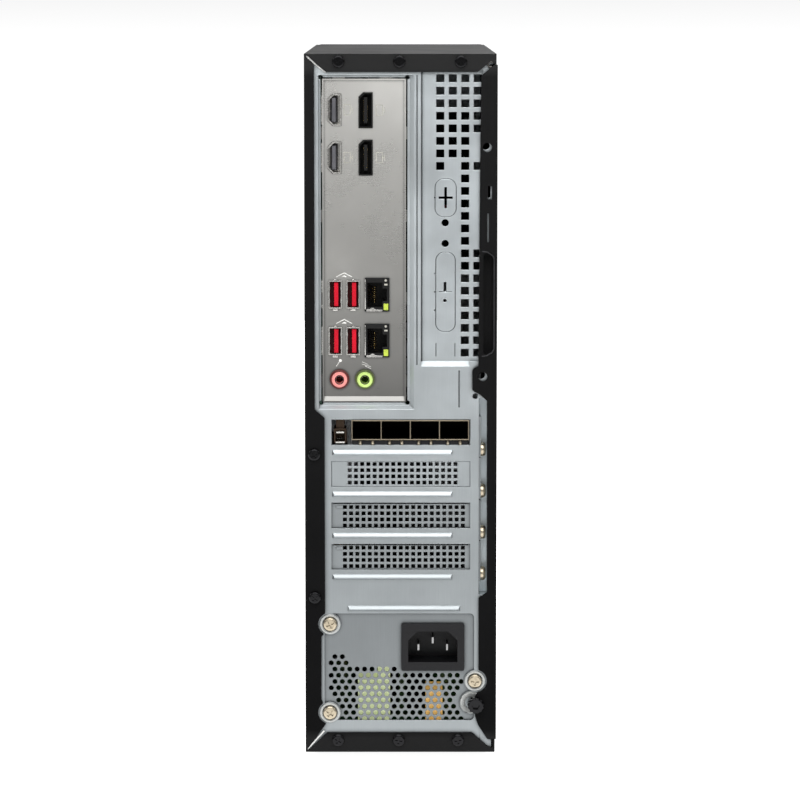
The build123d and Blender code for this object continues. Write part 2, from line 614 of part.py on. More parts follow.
def board_leg(x, z, half_z):
    """Solid lower body that stands a raised port on the mainboard."""
    back = CAN_FRONT - PORT_DEPTH
    return slab((x, BOARD_FACE), (back, SHIELD_BACK - 0.3), (z - half_z, z + half_z))


def make_hdmi_shells():
    ports = []
    for z in HDMI_Z:
        can = port_can(hdmi_outline(), hdmi_outline(-PORT_WALL), HDMI_X, z, 12.0)
        ports.append(can + board_leg(HDMI_X + HDMI_OUTER[0] / 2 - 0.4, z, 7.0))
    return ports


def make_displayport_shells():
    ports = []
    edge = DISPLAYPORT_X + DISPLAYPORT_OUTER[0] / 2
    back = CAN_FRONT - PORT_DEPTH
    for z in DISPLAYPORT_Z:
        can = port_can(displayport_outline(), displayport_outline(-PORT_WALL), DISPLAYPORT_X, z, 12.0)
        body = slab((edge - 0.4, HDMI_X - HDMI_OUTER[0] / 2), (back, SHIELD_BACK - 0.3), (z - 7.5, z + 7.5))
        ports.append(can + body)
    return ports


def make_video_inserts():
    """Plastic tongues of the HDMI and DisplayPort sockets."""
    back = CAN_FRONT - 12.0
    tongues = []
    for x, half, positions in ((HDMI_X + 0.2, 5.6, HDMI_Z), (DISPLAYPORT_X, 6.2, DISPLAYPORT_Z)):
        for z in positions:
            tongues.append(slab((x - 0.8, x + 0.8), (back, CAN_FRONT - 1.0), (z - half, z + half)))
    return tongues


def make_usb_shells():
    """Four USB-A shells in two stacks that stand on the mainboard."""
    stacks = []
    back = CAN_FRONT - PORT_DEPTH
    for z in USB_Z:
        half_z = USB_OUTER[1] / 2
        x_low = USB_X[1] - USB_OUTER[0] / 2
        stack = slab((x_low, BOARD_FACE), (back, SHIELD_BACK - 0.3), (z - half_z, z + half_z))
        for x in USB_X:
            stack += rear_sheet(Pos(x, z) * Rectangle(*USB_OUTER), CAN_FRONT, PORT_DEPTH)
        for x in USB_X:
            inner = Rectangle(USB_OUTER[0] - 2 * PORT_WALL, USB_OUTER[1] - 2 * PORT_WALL)
            stack -= rear_sheet(Pos(x, z) * inner, CAN_FRONT, 14.0)
        stacks.append(stack)
    return stacks


def make_usb_tongues():
    """Red insulators of the USB-A sockets: a back wall with a flat tongue."""
    tongues = []
    inner = (USB_OUTER[0] - 2 * PORT_WALL, USB_OUTER[1] - 2 * PORT_WALL)
    back = CAN_FRONT - 14.0
    for x in USB_X:
        for z in USB_Z:
            half_z = inner[1] / 2
            wall = slab((x - inner[0] / 2, x + inner[0] / 2), (back, back + 7.0), (z - half_z, z + half_z))
            blade_z = (z - half_z + 0.6, z + half_z - 0.6)
            tongue = slab((x - 1.5, x + 0.5), (back + 7.0, CAN_FRONT - 0.9), blade_z)
            tongues.append(wall + tongue)
    return tongues


LAN_FRONT = SHIELD_FACE + 0.1
LAN_PLUG = (7.4, 12.0)
LAN_DEPTH = 12.5
LAN_LIGHT = (LAN_X - 4.3, -5.8)


def make_lan_jacks():
    """Two network jacks: plug cavity towards the board, latch notch away from it."""
    jacks = []
    for z in LAN_Z:
        jack = rear_sheet(Pos(LAN_X, z) * Rectangle(*LAN_OUTER), LAN_FRONT, PORT_DEPTH)
        x_high = LAN_X + LAN_OUTER[0] / 2 - 1.1
        x_step = x_high - LAN_PLUG[0]
        cavity = area((x_step, x_high), (z - LAN_PLUG[1] / 2, z + LAN_PLUG[1] / 2))
        cavity += area((x_step - 2.1, x_step), (z - 3.1, z + 3.1))
        jack -= rear_sheet(cavity, LAN_FRONT, LAN_DEPTH)
        jack -= rear_sheet(Pos(LAN_LIGHT[0], z + LAN_LIGHT[1]) * Rectangle(2.2, 3.2), LAN_FRONT, 3.0)
        jacks.append(jack)
    return jacks


def make_lan_indicators():
    """Light window in the lower corner of each network jack."""
    window = Rectangle(2.2, 3.2)
    return [rear_sheet(Pos(LAN_LIGHT[0], z + LAN_LIGHT[1]) * window, LAN_FRONT - 0.1, 2.9) for z in LAN_Z]


def make_audio_jack(x):
    """Round audio jack with a stepped coloured nose and a 3.5 mm bore."""
    face = REAR - 0.6
    jack = rod_y(x, (SHIELD_BACK - 14.0, SHIELD_FACE - 0.5), AUDIO_Z, 3.8)
    jack += rod_y(x, (SHIELD_FACE - 0.5, face), AUDIO_Z, 3.75)
    jack = chamfer(jack.edges().sort_by(Axis.Y)[-1], 0.5)
    return jack - rod_y(x, (face - AUDIO_BORE_DEPTH, face + 1), AUDIO_Z, AUDIO_BORE_R)


# ================= mainboard =================


def make_mainboard():
    board = slab((BOARD_FACE, BOARD_FACE + BOARD_T), BOARD_Y, BOARD_Z)
    for y, z in board_holes():
        board -= rod_x((BOARD_FACE - 1, BOARD_FACE + BOARD_T + 1), y, z, 1.9)
    return board


SOCKET_T = 4.5
HEAT_SINK_X = (8.0, BOARD_FACE - SOCKET_T)
FIN_COUNT = 19


def make_cpu_socket():
    """Processor socket frame with the processor's lid on top."""
    y, z = COOLER_CENTRE
    frame = slab((BOARD_FACE - 3.0, BOARD_FACE), (y - 27, y + 27), (z - 25, z + 25))
    lid = slab((BOARD_FACE - SOCKET_T, BOARD_FACE - 3.0), (y - 18, y + 18), (z - 16, z + 16))
    return frame + lid


def make_heat_sink():
    """Finned processor cooler with its fins across the air flow."""
    y, z = COOLER_CENTRE
    base = slab((HEAT_SINK_X[1] - 5, HEAT_SINK_X[1]), (y - 38, y + 38), (z - 38, z + 38))
    pitch = 76 / (FIN_COUNT - 1)
    for i in range(FIN_COUNT):
        centre = y - 38 + 0.6 + (pitch - 1.2 / (FIN_COUNT - 1)) * i
        base += slab((HEAT_SINK_X[0], HEAT_SINK_X[1] - 5), (centre - 0.6, centre + 0.6), (z - 38, z + 38))
    return base


def fan_frame(size, depth):
    """Square fan frame centred on the Z axis from z = 0 up, with a hub plate on three spokes at the top."""
    frame = extrude(RectangleRounded(size, size, 4), amount=depth)
    frame -= extrude(Circle(size / 2 - 1.5), amount=depth)
    corner = size / 2 - 4.0
    for sx in (-1, 1):
        for sy in (-1, 1):
            frame -= Pos(sx * corner, sy * corner, depth / 2) * Cylinder(2.1, depth)
    spoke_z = depth - 1.0
    for i in range(4):
        frame += Rot(0, 0, 45 + 90 * i) * Pos(size / 4 + 4, 0, spoke_z) * Box(size / 2 - 8, 3.0, 2.0)
    hub_r = size * 0.19
    frame += Pos(0, 0, spoke_z) * Cylinder(hub_r, 2.0)
    frame += Pos(0, 0, depth / 2 + 1) * Cylinder(3.2, depth - 6)
    return frame - Pos(0, 0, depth / 2) * Cylinder(FAN_SHAFT_R + FAN_FIT, depth + 2)


def fan_rotor(size, depth, blades):
    """Rotor that fits fan_frame: a cup, a shaft and swept blades that leave 1 mm to the ring."""
    hub_r = size * 0.19
    cup_z = depth - 3.5
    rotor = extrude(Circle(hub_r), amount=cup_z)
    rotor -= Pos(0, 0, 1.6) * extrude(Circle(hub_r - 1.4), amount=cup_z)
    rotor += Pos(0, 0, 1.6 + (depth - 3) / 2) * Cylinder(FAN_SHAFT_R, depth - 3)
    tip = size / 2 - 2.8
    flat = Box(tip - hub_r + 0.6, 1.3, cup_z * 0.95)
    blade = Pos((hub_r + tip) / 2 - 0.3, 0, cup_z / 2) * Rot(38, 0, 0) * flat
    blade &= Pos(0, 0, cup_z / 2) * Cylinder(tip, cup_z)
    for i in range(blades):
        rotor += Rot(0, 0, 360 / blades * i) * blade
    return rotor


CPU_FAN_DEPTH = 20.0
PSU_FAN_DEPTH = 15.0
FRONT_FAN_DEPTH = 20.0


def cpu_fan_place():
    """The processor fan stands on the fin tips and blows towards the board."""
    y, z = COOLER_CENTRE
    return Pos(HEAT_SINK_X[0] - CPU_FAN_DEPTH, y, z) * Rot(0, 90, 0)


def psu_fan_place():
    x, z = PSU_FAN_CENTRE
    return Pos(x, PANEL_FACE - PSU_DEPTH + PSU_WALL, z) * Rot(-90, 0, 0)


def front_fan_place():
    x, z = FRONT_FAN_CENTRE
    return Pos(x, FRONT_WALL_Y + SHEET, z) * Rot(-90, 0, 0)


MEMORY_Y = (-14.0, -23.5, -33.0, -42.5)
MEMORY_Z = (182.0, 322.0)


def make_memory_sockets():
    sockets = []
    for y in MEMORY_Y:
        body = slab((BOARD_FACE - 6.0, BOARD_FACE), (y - 3.2, y + 3.2), MEMORY_Z)
        for z in (MEMORY_Z[0], MEMORY_Z[1] - 4.0):
            body += slab((BOARD_FACE - 14.0, BOARD_FACE - 6.0), (y - 3.2, y + 3.2), (z, z + 4.0))
        groove = (MEMORY_Z[0] + 2.8, MEMORY_Z[1] - 2.8)
        body -= slab((BOARD_FACE - 20.0, BOARD_FACE - 3.0), (y - 0.75, y + 0.75), groove)
        sockets.append(body)
    return sockets


def make_memory_modules():
    """Two memory modules in the first and third sockets, with chips on both faces."""
    modules = []
    z_low = (MEMORY_Z[0] + MEMORY_Z[1] - 133.35) / 2
    for y in MEMORY_Y[::2]:
        module = slab((BOARD_FACE - 34.25, BOARD_FACE - 3.0), (y - 0.65, y + 0.65), (z_low, z_low + 133.35))
        for i in range(8):
            z = z_low + 8.0 + 15.6 * i
            module += slab((BOARD_FACE - 29.0, BOARD_FACE - 18.0), (y - 1.8, y + 1.8), (z, z + 9.0))
        modules.append(module)
    return modules


def make_expansion_connectors():
    """One card connector behind each slot."""
    connectors = []
    for i, length in enumerate((89.0, 39.0, 89.0, 25.0)):
        z = CARD_Z + CARD_T / 2 - SLOT_PITCH * i
        body = slab((BOARD_FACE - 11.0, BOARD_FACE), (98.0 - length, 98.0), (z - 3.7, z + 3.7))
        body -= slab((BOARD_FACE - 12.0, BOARD_FACE - 3.0), (99.0 - length, 97.0), (z - 0.9, z + 0.9))
        connectors.append(body)
    return connectors


def make_chipset_heat_sink():
    x_high = BOARD_FACE
    sink = slab((x_high - 4.0, x_high), (-58.0, -22.0), (112.0, 148.0))
    for i in range(9):
        y = -57.0 + 4.125 * i
        sink += slab((x_high - 14.0, x_high - 4.0), (y - 0.7, y + 0.7), (112.0, 148.0))
    return sink


def make_coin_cell():
    """Backup cell in its round holder."""
    holder = rod_x((BOARD_FACE - 2.5, BOARD_FACE), -8.0, 166.0, 12.0)
    return holder + rod_x((BOARD_FACE - 4.8, BOARD_FACE - 2.5), -8.0, 166.0, 10.0)


def make_solid_state_drive():
    """M.2 drive that lies on the mainboard behind the card connectors."""
    x_high = BOARD_FACE - 3.0
    y = (103.0, 125.0)
    z = (93.0, 173.0)
    chips = (x_high - 2.3, x_high - 0.8)
    card = slab((x_high - 0.8, x_high), y, z)
    card += slab(chips, (y[0] + 3, y[1] - 3), (z[0] + 12, z[0] + 30))
    card += slab(chips, (y[0] + 4, y[1] - 4), (z[0] + 38, z[0] + 52))
    card += slab((x_high, BOARD_FACE), (y[0] + 1, y[1] - 1), (z[1] - 5, z[1]))
    return card + rod_x((x_high, BOARD_FACE), (y[0] + y[1]) / 2, z[0] + 3, 2.6)


POWER_PLUG_YZ = (-60.0, 212.0)


def make_power_connector():
    """Main power socket and its plug on the mainboard's front edge."""
    y, z = POWER_PLUG_YZ
    socket = slab((BOARD_FACE - 9.0, BOARD_FACE), (y - 4.8, y + 4.8), (z - 26.0, z + 26.0))
    plug = slab((BOARD_FACE - 20.0, BOARD_FACE - 9.0), (y - 4.4, y + 4.4), (z - 25.4, z + 25.4))
    return socket + plug


# ================= network card and slot covers =================

CAGE_X = (-33.1, 23.9)
CAGE_Z = (156.5, CARD_Z)
CAGE_LENGTH = 48.0
CAGE_FRONT = PANEL_FACE + 0.4
CAGE_WALL = 0.45
CAGE_COUNT = 4
SERVICE_X = (26.4, 32.4)
SERVICE_Z = (155.2, 162.0)
BRACKET_FACE = PANEL_BACK
STEP_GAP = 0.12


def bracket_blank(index, window=None):
    """Slot bracket: a plate behind the panel's window with a tab that bends inwards onto the shelf."""
    top = slot_top(index)
    bottom = top - SLOT_WINDOW
    tab_low = rib_z(index) - 3.4
    plate = area(BRACKET_X, (bottom - 1.2, top + 1.2))
    plate += area((BRACKET_X[0] - BRACKET_T, SLOT_X[0] - 0.6), (tab_low, top + 1.2))
    if window:
        plate -= window
    blank = rear_sheet(plate, BRACKET_FACE, BRACKET_T)
    tab_x = (BRACKET_X[0] - BRACKET_T, BRACKET_X[0])
    blank += slab(tab_x, (BRACKET_FACE - 9.0, BRACKET_FACE - 0.2), (tab_low, top + 1.2))
    hole = (tab_x[0] - 1, tab_x[1] + 0.5)
    return blank - rod_x(hole, SLOT_SCREW_Y, rib_z(index), SHELL_SCREW_R + SCREW_CLEARANCE)


def slot_cover(index, columns, first_x, first_drop, raised):
    """Perforated slot cover with four rows of vents; a raised one stands in its window."""
    top = slot_top(index)
    pitch = 3.02
    size = 1.9
    holes = [
        Pos(first_x - pitch * i, top - first_drop - pitch * k) * Rectangle(size, size)
        for i in range(columns) for k in range(4)]
    if not raised:
        holes.append(area((SLOT_X[0] + 0.8, SLOT_X[1] - 0.8), (top - 0.75, top)))
        cover = bracket_blank(index, Sketch() + holes)
        return cover + Pos(29.8, BRACKET_FACE, top - 2.3) * Box(3.2, 0.8, 1.2)
    window = (SLOT_X[0] + STEP_GAP, SLOT_X[1] - STEP_GAP)
    step = area(window, (top - SLOT_WINDOW + STEP_GAP, top - STEP_GAP)) - (Sketch() + holes)
    cover = bracket_blank(index, Sketch() + holes)
    return cover + rear_sheet(step, PANEL_BACK + 0.7, 0.7)


def make_card_bracket():
    """Bracket of the network card: a frame round the whole slot window."""
    window = area((SLOT_X[0] + 0.3, SLOT_X[1] - 0.3), (SLOT_TOP - SLOT_WINDOW + 0.3, SLOT_TOP - 0.1))
    return bracket_blank(0, window)


def make_card_board():
    """Network card's circuit board with its edge fingers in the first connector."""
    y_high = BRACKET_FACE - BRACKET_T - 0.1
    board = slab((-31.0, BOARD_FACE - 12.0), (-6.0, y_high), (CARD_Z, CARD_Z + CARD_T))
    return board + slab((BOARD_FACE - 12.0, BOARD_FACE - 3.5), (32.0, 95.0), (CARD_Z, CARD_Z + CARD_T))


def cage_cell(index):
    """Ranges in x of one cage opening, counted from +X."""
    pitch = (CAGE_X[1] - CAGE_X[0] - CAGE_WALL) / CAGE_COUNT
    high = CAGE_X[1] - CAGE_WALL - pitch * index
    return (high - pitch + CAGE_WALL, high)


def make_card_cage():
    """Row of four transceiver cages below the card's board, folded from flat sheets."""
    back = CAGE_FRONT - CAGE_LENGTH
    inside_z = (CAGE_Z[0] + CAGE_WALL, CAGE_Z[1] - CAGE_WALL)
    sheets = [
        slab(CAGE_X, (back, CAGE_FRONT), (CAGE_Z[0], inside_z[0])),
        slab(CAGE_X, (back, CAGE_FRONT), (inside_z[1], CAGE_Z[1])),
        slab(CAGE_X, (back, back + 1.0), inside_z)]
    edges = [CAGE_X[0]] + [cage_cell(i)[1] for i in reversed(range(CAGE_COUNT))]
    return sheets + [slab((x, x + CAGE_WALL), (back + 1.0, CAGE_FRONT), inside_z) for x in edges]


def make_service_port():
    """Small service socket beside the cages."""
    y = (CAGE_FRONT - 14.0, CAGE_FRONT - 0.5)
    port = slab(SERVICE_X, y, SERVICE_Z)
    mouth = (SERVICE_X[0] + 0.7, SERVICE_X[1] - 0.7)
    port -= slab(mouth, (y[1] - 10.0, y[1] + 1), (SERVICE_Z[0] + 0.7, SERVICE_Z[1] - 0.7))
    return port + slab((SERVICE_X[0] + 1, SERVICE_X[1] - 1), (y[0], y[1] - 2), (SERVICE_Z[1], CARD_Z))


def make_card_heat_sink():
    z_high = CARD_Z
    sink = slab((-22.0, 22.0), (40.0, 84.0), (z_high - 5.0, z_high))
    for i in range(11):
        x = -21.4 + 4.28 * i
        sink += slab((x - 0.6, x + 0.6), (40.0, 84.0), (z_high - 12.0, z_high - 5.0))
    return sink


# ================= power supply =================

PSU_BACK = PANEL_BACK
PSU_FRONT = PANEL_FACE - PSU_DEPTH
PSU_BOARD_Z = 12.0


def make_psu_case():
    """Steel box of the power supply, open at the rear and round the fan."""
    y = (PSU_FRONT, PSU_BACK - SHEET)
    case = slab(PSU_X, y, PSU_Z)
    inside_x = (PSU_X[0] + PSU_WALL, PSU_X[1] - PSU_WALL)
    inside_z = (PSU_Z[0] + PSU_WALL, PSU_Z[1] - PSU_WALL)
    case -= slab(inside_x, (PSU_FRONT + PSU_WALL, y[1] + 1), inside_z)
    x, z = PSU_FAN_CENTRE
    case -= rod_y(x, (PSU_FRONT - 1, PSU_FRONT + PSU_WALL), z, PSU_FAN_SIZE / 2 - 1.5)
    return case


def psu_vents():
    """Staggered round vents of the power supply's rear plate."""
    holes = []
    for row, (first, count) in enumerate(PSU_VENT_ROWS):
        shift = PSU_VENT_PITCH / 2 if row % 2 else 0.0
        z = PSU_VENT_FIRST[1] - PSU_VENT_ROW * row
        for i in range(first, first + count):
            holes.append(Pos(PSU_VENT_FIRST[0] + shift - PSU_VENT_PITCH * i, z) * Circle(PSU_VENT_R))
    return holes


def make_psu_grille():
    plate = area(PSU_X, PSU_Z) - (Sketch() + psu_vents())
    x, z = INLET_CENTRE
    plate -= Pos(x, z) * Rectangle(INLET_BODY[0] + 0.2, INLET_BODY[1] + 0.2)
    for screw_x, screw_z in PSU_SCREWS:
        plate -= Pos(screw_x, screw_z) * Circle(SHELL_SCREW_R + SCREW_CLEARANCE)
    plate -= Pos(*THUMB) * Circle(THUMB_SHANK_R + GAP)
    return rear_sheet(plate, PSU_BACK, SHEET)


INLET_MOUTH = PANEL_FACE + 0.6
INLET_BACK = PSU_BACK - 18.0


def make_psu_inlet():
    """Mains inlet: a face frame, a body through the plate, and the keyed recess for the plug."""
    x, z = INLET_CENTRE
    face = rear_sheet(Pos(x, z) * RectangleRounded(*INLET_FACE, 0.8), INLET_MOUTH, INLET_MOUTH - PSU_BACK)
    body = rear_sheet(Pos(x, z) * Rectangle(*INLET_BODY), PSU_BACK, PSU_BACK - INLET_BACK)
    keyed = clipped(INLET_RECESS, {(1, 1): INLET_CHAMFER, (-1, 1): INLET_CHAMFER})
    recess = rear_sheet(Pos(x, z + 0.2) * keyed, INLET_MOUTH, 16.5)
    return face + body - recess


def make_inlet_pins():
    """Three flat pins of the mains inlet."""
    x, z = INLET_CENTRE
    y = (INLET_MOUTH - 16.5, INLET_MOUTH - 4.8)
    pins = []
    for dx, dz in ((7.0, -0.8), (0.0, 2.6), (-7.0, -0.8)):
        pins.append(slab((x + dx - 0.45, x + dx + 0.45), y, (z + dz - 1.5, z + dz + 1.5)))
    return pins


def make_psu_board():
    """Power supply's circuit board with its capacitors, chokes and a heat sink."""
    board_z = (PSU_BOARD_Z - 1.6, PSU_BOARD_Z)
    board = slab((PSU_X[0] + 2.5, PSU_X[1] - 2.5), (PSU_FRONT + 20.0, PSU_BACK - 8.0), board_z)
    capacitors = ((-24, 80, 9, 32), (-24, 58, 9, 32), (30, 60, 6, 22), (30, 45, 6, 22), (12, 10, 5, 20))
    for x, y, r, h in capacitors:
        board += Pos(x, y, PSU_BOARD_Z + h / 2) * Cylinder(r, h)
    board += slab((-2.0, 1.0), (20.0, 90.0), (PSU_BOARD_Z, PSU_BOARD_Z + 36))
    return board


def make_psu_transformers():
    """Taped transformers and chokes just behind the vents."""
    y = (PSU_BACK - 26.0, PSU_BACK - 3.0)
    return [
        slab((5.3, 11.3), y, (PSU_BOARD_Z, 44.6)),
        slab((11.6, 20.9), y, (PSU_BOARD_Z, 37.7)),
        slab((-20.4, -12.2), y, (PSU_BOARD_Z, 32.6))]


# ================= front and drives =================

FRONT_SLOT_COUNT = 22
FRONT_PORT_X = (-24.0, -8.0, 6.0)


def make_front_bezel():
    """Black plastic front with an intake grille, the button bore and the port windows."""
    x = (-HALF_WIDTH, HALF_WIDTH)
    outer = slab(x, (FRONT, BEZEL_BACK), (BOTTOM, TOP))
    rim = outer.edges().filter_by(Axis.Y) + outer.faces().sort_by(Axis.Y)[0].edges()
    outer = fillet(rim, 2.5)
    outer -= slab((x[0] + 2.2, x[1] - 2.2), (FRONT + 3.0, BEZEL_BACK + 1), (BOTTOM + 2.2, TOP - 2.2))
    outer -= rod_y(BUTTON_X, (FRONT - 1, FRONT + 4), BUTTON_Z, BUTTON_R + GAP)
    slots = [area((-33.0, 33.0), (40.0 + 8.5 * i, 44.5 + 8.5 * i), 2.0) for i in range(FRONT_SLOT_COUNT)]
    window_z = (PORTS_Z - 2.9, PORTS_Z + 2.9)
    slots += [area((x_port - 6.7, x_port + 6.7), window_z) for x_port in FRONT_PORT_X[:2]]
    slots.append(Pos(FRONT_PORT_X[2] + 3.0, PORTS_Z) * Circle(3.2))
    front = Sketch() + slots
    return outer - rear_sheet(front, FRONT + 4.0, 5.0)


def make_power_button():
    """Round push button with a collar that keeps it in the bezel."""
    face = FRONT + 0.3
    button = rod_y(BUTTON_X, (face, FRONT + 9.0), BUTTON_Z, BUTTON_R)
    button = fillet(button.edges().sort_by(Axis.Y)[0], 0.8)
    return button + rod_y(BUTTON_X, (FRONT + 3.6, FRONT + 5.0), BUTTON_Z, BUTTON_R + 2.0)


def make_front_ports():
    """Front circuit board with two USB sockets, an audio socket and the button's switch."""
    board_y = (FRONT + 15.0, FRONT + 16.6)
    ports = slab((-34.0, 38.0), board_y, (PORTS_Z - 8, BUTTON_Z + 8))
    for x in FRONT_PORT_X[:2]:
        ports += slab((x - 6.5, x + 6.5), (FRONT + 0.6, board_y[0]), (PORTS_Z - 2.7, PORTS_Z + 2.7))
        ports -= slab((x - 6.0, x + 6.0), (FRONT, FRONT + 9.0), (PORTS_Z - 2.2, PORTS_Z + 2.2))
        ports += slab((x - 5.4, x + 5.4), (FRONT + 1.4, FRONT + 9.0), (PORTS_Z - 0.2, PORTS_Z + 1.4))
    x = FRONT_PORT_X[2] + 3.0
    ports += rod_y(x, (FRONT + 0.6, board_y[0]), PORTS_Z, 3.0)
    ports -= rod_y(x, (FRONT - 1, FRONT + 13.0), PORTS_Z, AUDIO_BORE_R)
    ports += slab((BUTTON_X - 3, BUTTON_X + 3), (FRONT + 11.0, board_y[0]), (BUTTON_Z - 3, BUTTON_Z + 3))
    return ports


DRIVE_X = (-42.5, -16.4)
DRIVE_Y = (-122.0, -20.4)
DRIVE_Z = (77.0, 224.0)


def make_hard_drive():
    """3.5-inch drive standing beside the cover."""
    recess_y = (DRIVE_Y[0] + 6, DRIVE_Y[1] - 6)
    recess_z = (DRIVE_Z[0] + 8, DRIVE_Z[1] - 8)
    return slab(DRIVE_X, DRIVE_Y, DRIVE_Z) - slab((DRIVE_X[0] - 1, DRIVE_X[0] + 0.8), recess_y, recess_z)


def make_drive_cage():
    """Sheet-metal cage round three sides of the drive."""
    x = (DRIVE_X[0], DRIVE_X[1] + SHEET)
    cage = slab((DRIVE_X[1], x[1]), DRIVE_Y, (DRIVE_Z[0] - SHEET, DRIVE_Z[1] + SHEET))
    cage += slab(x, DRIVE_Y, (DRIVE_Z[0] - SHEET, DRIVE_Z[0]))
    cage += slab(x, DRIVE_Y, (DRIVE_Z[1], DRIVE_Z[1] + SHEET))
    holes = [
        Pos(DRIVE_Y[0] + 20 + 20 * i, DRIVE_Z[0] + 25 + 24 * k) * Circle(7)
        for i in range(4) for k in range(5)]
    return cage - extrude(Plane.YZ.offset(DRIVE_X[1] - 1) * (Sketch() + holes), amount=SHEET + 2)


def cable(points, radii, radius):
    """Round cable along straight runs joined by tangent arcs."""
    path = FilletPolyline(*points, radius=radii)
    start = Plane(origin=path @ 0, z_dir=path % 0)
    return sweep(start * Circle(radius), path=path)


def make_power_cable():
    """Wire bundle from the power supply to the plug on the mainboard."""
    y, z = POWER_PLUG_YZ
    x = 6.0
    points = [(x, PSU_FRONT, 66.0 - 2.0), (x, y, 64.0), (x, y, z), (BOARD_FACE - 20.0, y, z)]
    return cable(points, 11.0, 4.0)


def make_drive_cable():
    """Cable from the mainboard's front edge to the top of the drive."""
    y = -64.0
    points = [(BOARD_FACE, y, 250.0), (14.0, y, 250.0), (-29.0, y, 258.0), (-29.0, y, DRIVE_Z[1] + SHEET)]
    return cable(points, 9.0, 3.0)


# ================= nodes =================


def joined(parts):
    """Group of separate solids under one node."""
    return Compound(children=list(parts))


def build_nodes():
    nodes = {
        "outer_shell": make_outer_shell(),
        "shell_screws": joined(make_shell_screws()),
        "side_cover": make_side_cover(),
        "side_cover_flange": joined(make_cover_flange()),
        "finger_pull_cup": make_pull_cup(),
        "thumbscrew": make_thumbscrew(),
        "rubber_feet": joined(make_rubber_feet()),
        "chassis_rear_panel": joined(make_rear_panel()),
        "chassis_floor": make_floor(),
        "chassis_roof": make_roof(),
        "motherboard_tray": make_tray(),
        "chassis_front_wall": make_front_wall(),
        "slot_retainer": make_slot_retainer(),
        "slot_screws": joined(make_slot_screws()),
        "io_shield": joined(make_io_shield()),
        "io_shield_tabs": joined(make_shield_tabs()),
        "hdmi_shells": joined(make_hdmi_shells()),
        "displayport_shells": joined(make_displayport_shells()),
        "video_port_inserts": joined(make_video_inserts()),
        "usb_shells": joined(make_usb_shells()),
        "usb_tongues": joined(make_usb_tongues()),
        "lan_jacks": joined(make_lan_jacks()),
        "lan_indicators": joined(make_lan_indicators()),
        "microphone_jack": make_audio_jack(MICROPHONE_X),
        "line_out_jack": make_audio_jack(LINE_OUT_X),
        "mainboard": make_mainboard(),
        "cpu_socket": make_cpu_socket(),
        "heat_sink": make_heat_sink(),
        "memory_sockets": joined(make_memory_sockets()),
        "memory_modules": joined(make_memory_modules()),
        "expansion_connectors": joined(make_expansion_connectors()),
        "chipset_heat_sink": make_chipset_heat_sink(),
        "coin_cell": make_coin_cell(),
        "solid_state_drive": make_solid_state_drive(),
        "power_connector": make_power_connector(),
        "network_card_board": make_card_board(),
        "network_card_bracket": make_card_bracket(),
        "network_card_cage": joined(make_card_cage()),
        "network_card_service_port": make_service_port(),
        "network_card_heat_sink": make_card_heat_sink(),
        "slot_cover_2": slot_cover(1, 18, 24.8, 1.5, True),
        "slot_cover_3": slot_cover(2, 20, 27.2, 2.4, False),
        "slot_cover_4": slot_cover(3, 20, 27.2, 2.0, False),
        "psu_case": make_psu_case(),
        "psu_grille": make_psu_grille(),
        "psu_inlet": make_psu_inlet(),
        "psu_inlet_pins": joined(make_inlet_pins()),
        "psu_screws": joined(make_psu_screws()),
        "psu_board": make_psu_board(),
        "psu_transformers": joined(make_psu_transformers()),
        "front_bezel": make_front_bezel(),
        "power_button": make_power_button(),
        "front_port_module": make_front_ports(),
        "hard_drive": make_hard_drive(),
        "drive_cage": make_drive_cage(),
        "power_cable": make_power_cable(),
        "drive_cable": make_drive_cable(),
    }
    fans = (
        ("cpu_fan", CPU_FAN_SIZE, CPU_FAN_DEPTH, cpu_fan_place(), 7),
        ("psu_fan", PSU_FAN_SIZE, PSU_FAN_DEPTH, psu_fan_place(), 7),
        ("front_fan", FRONT_FAN_SIZE, FRONT_FAN_DEPTH, front_fan_place(), 9))
    for name, size, depth, place, blades in fans:
        nodes[name + "_frame"] = place * fan_frame(size, depth)
        nodes[name + "_rotor"] = place * fan_rotor(size, depth, blades)
    return nodes


os.makedirs("parts", exist_ok=True)
for name, shape in build_nodes().items():
    export_step(shape, f"parts/{name}.step")
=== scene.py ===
import json
import math

import bmesh
import bpy
from mathutils import Matrix, Vector


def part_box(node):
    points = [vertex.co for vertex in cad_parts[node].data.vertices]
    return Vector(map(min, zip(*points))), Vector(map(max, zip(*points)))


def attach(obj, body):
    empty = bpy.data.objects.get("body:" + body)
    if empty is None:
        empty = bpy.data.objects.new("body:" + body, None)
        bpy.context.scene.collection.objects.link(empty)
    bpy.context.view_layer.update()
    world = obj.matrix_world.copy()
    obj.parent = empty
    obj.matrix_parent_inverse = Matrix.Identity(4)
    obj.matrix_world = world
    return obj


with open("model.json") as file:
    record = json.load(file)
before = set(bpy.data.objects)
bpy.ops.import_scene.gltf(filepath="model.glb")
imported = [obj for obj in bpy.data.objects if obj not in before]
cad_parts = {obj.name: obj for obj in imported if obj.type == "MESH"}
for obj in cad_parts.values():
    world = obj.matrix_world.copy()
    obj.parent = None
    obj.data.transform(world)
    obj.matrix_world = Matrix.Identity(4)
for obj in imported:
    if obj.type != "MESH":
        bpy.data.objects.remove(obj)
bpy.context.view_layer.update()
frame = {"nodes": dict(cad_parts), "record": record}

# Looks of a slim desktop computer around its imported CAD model.
# Pieces are measured in millimetres (MM turns them into metres) in the frame of the CAD model:
# +Z is up, the connector side faces +Y, the mainboard hangs on the +X wall and the cover is the -X wall.
MM = 0.001


def box_mm(node):
    """Ranges of a CAD node in millimetres: (x low, x high), (y low, y high), (z low, z high)."""
    low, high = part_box(node)
    return [(low[i] / MM, high[i] / MM) for i in range(3)]


def middle(span):
    return (span[0] + span[1]) / 2


# ================= camera, light and floor =================

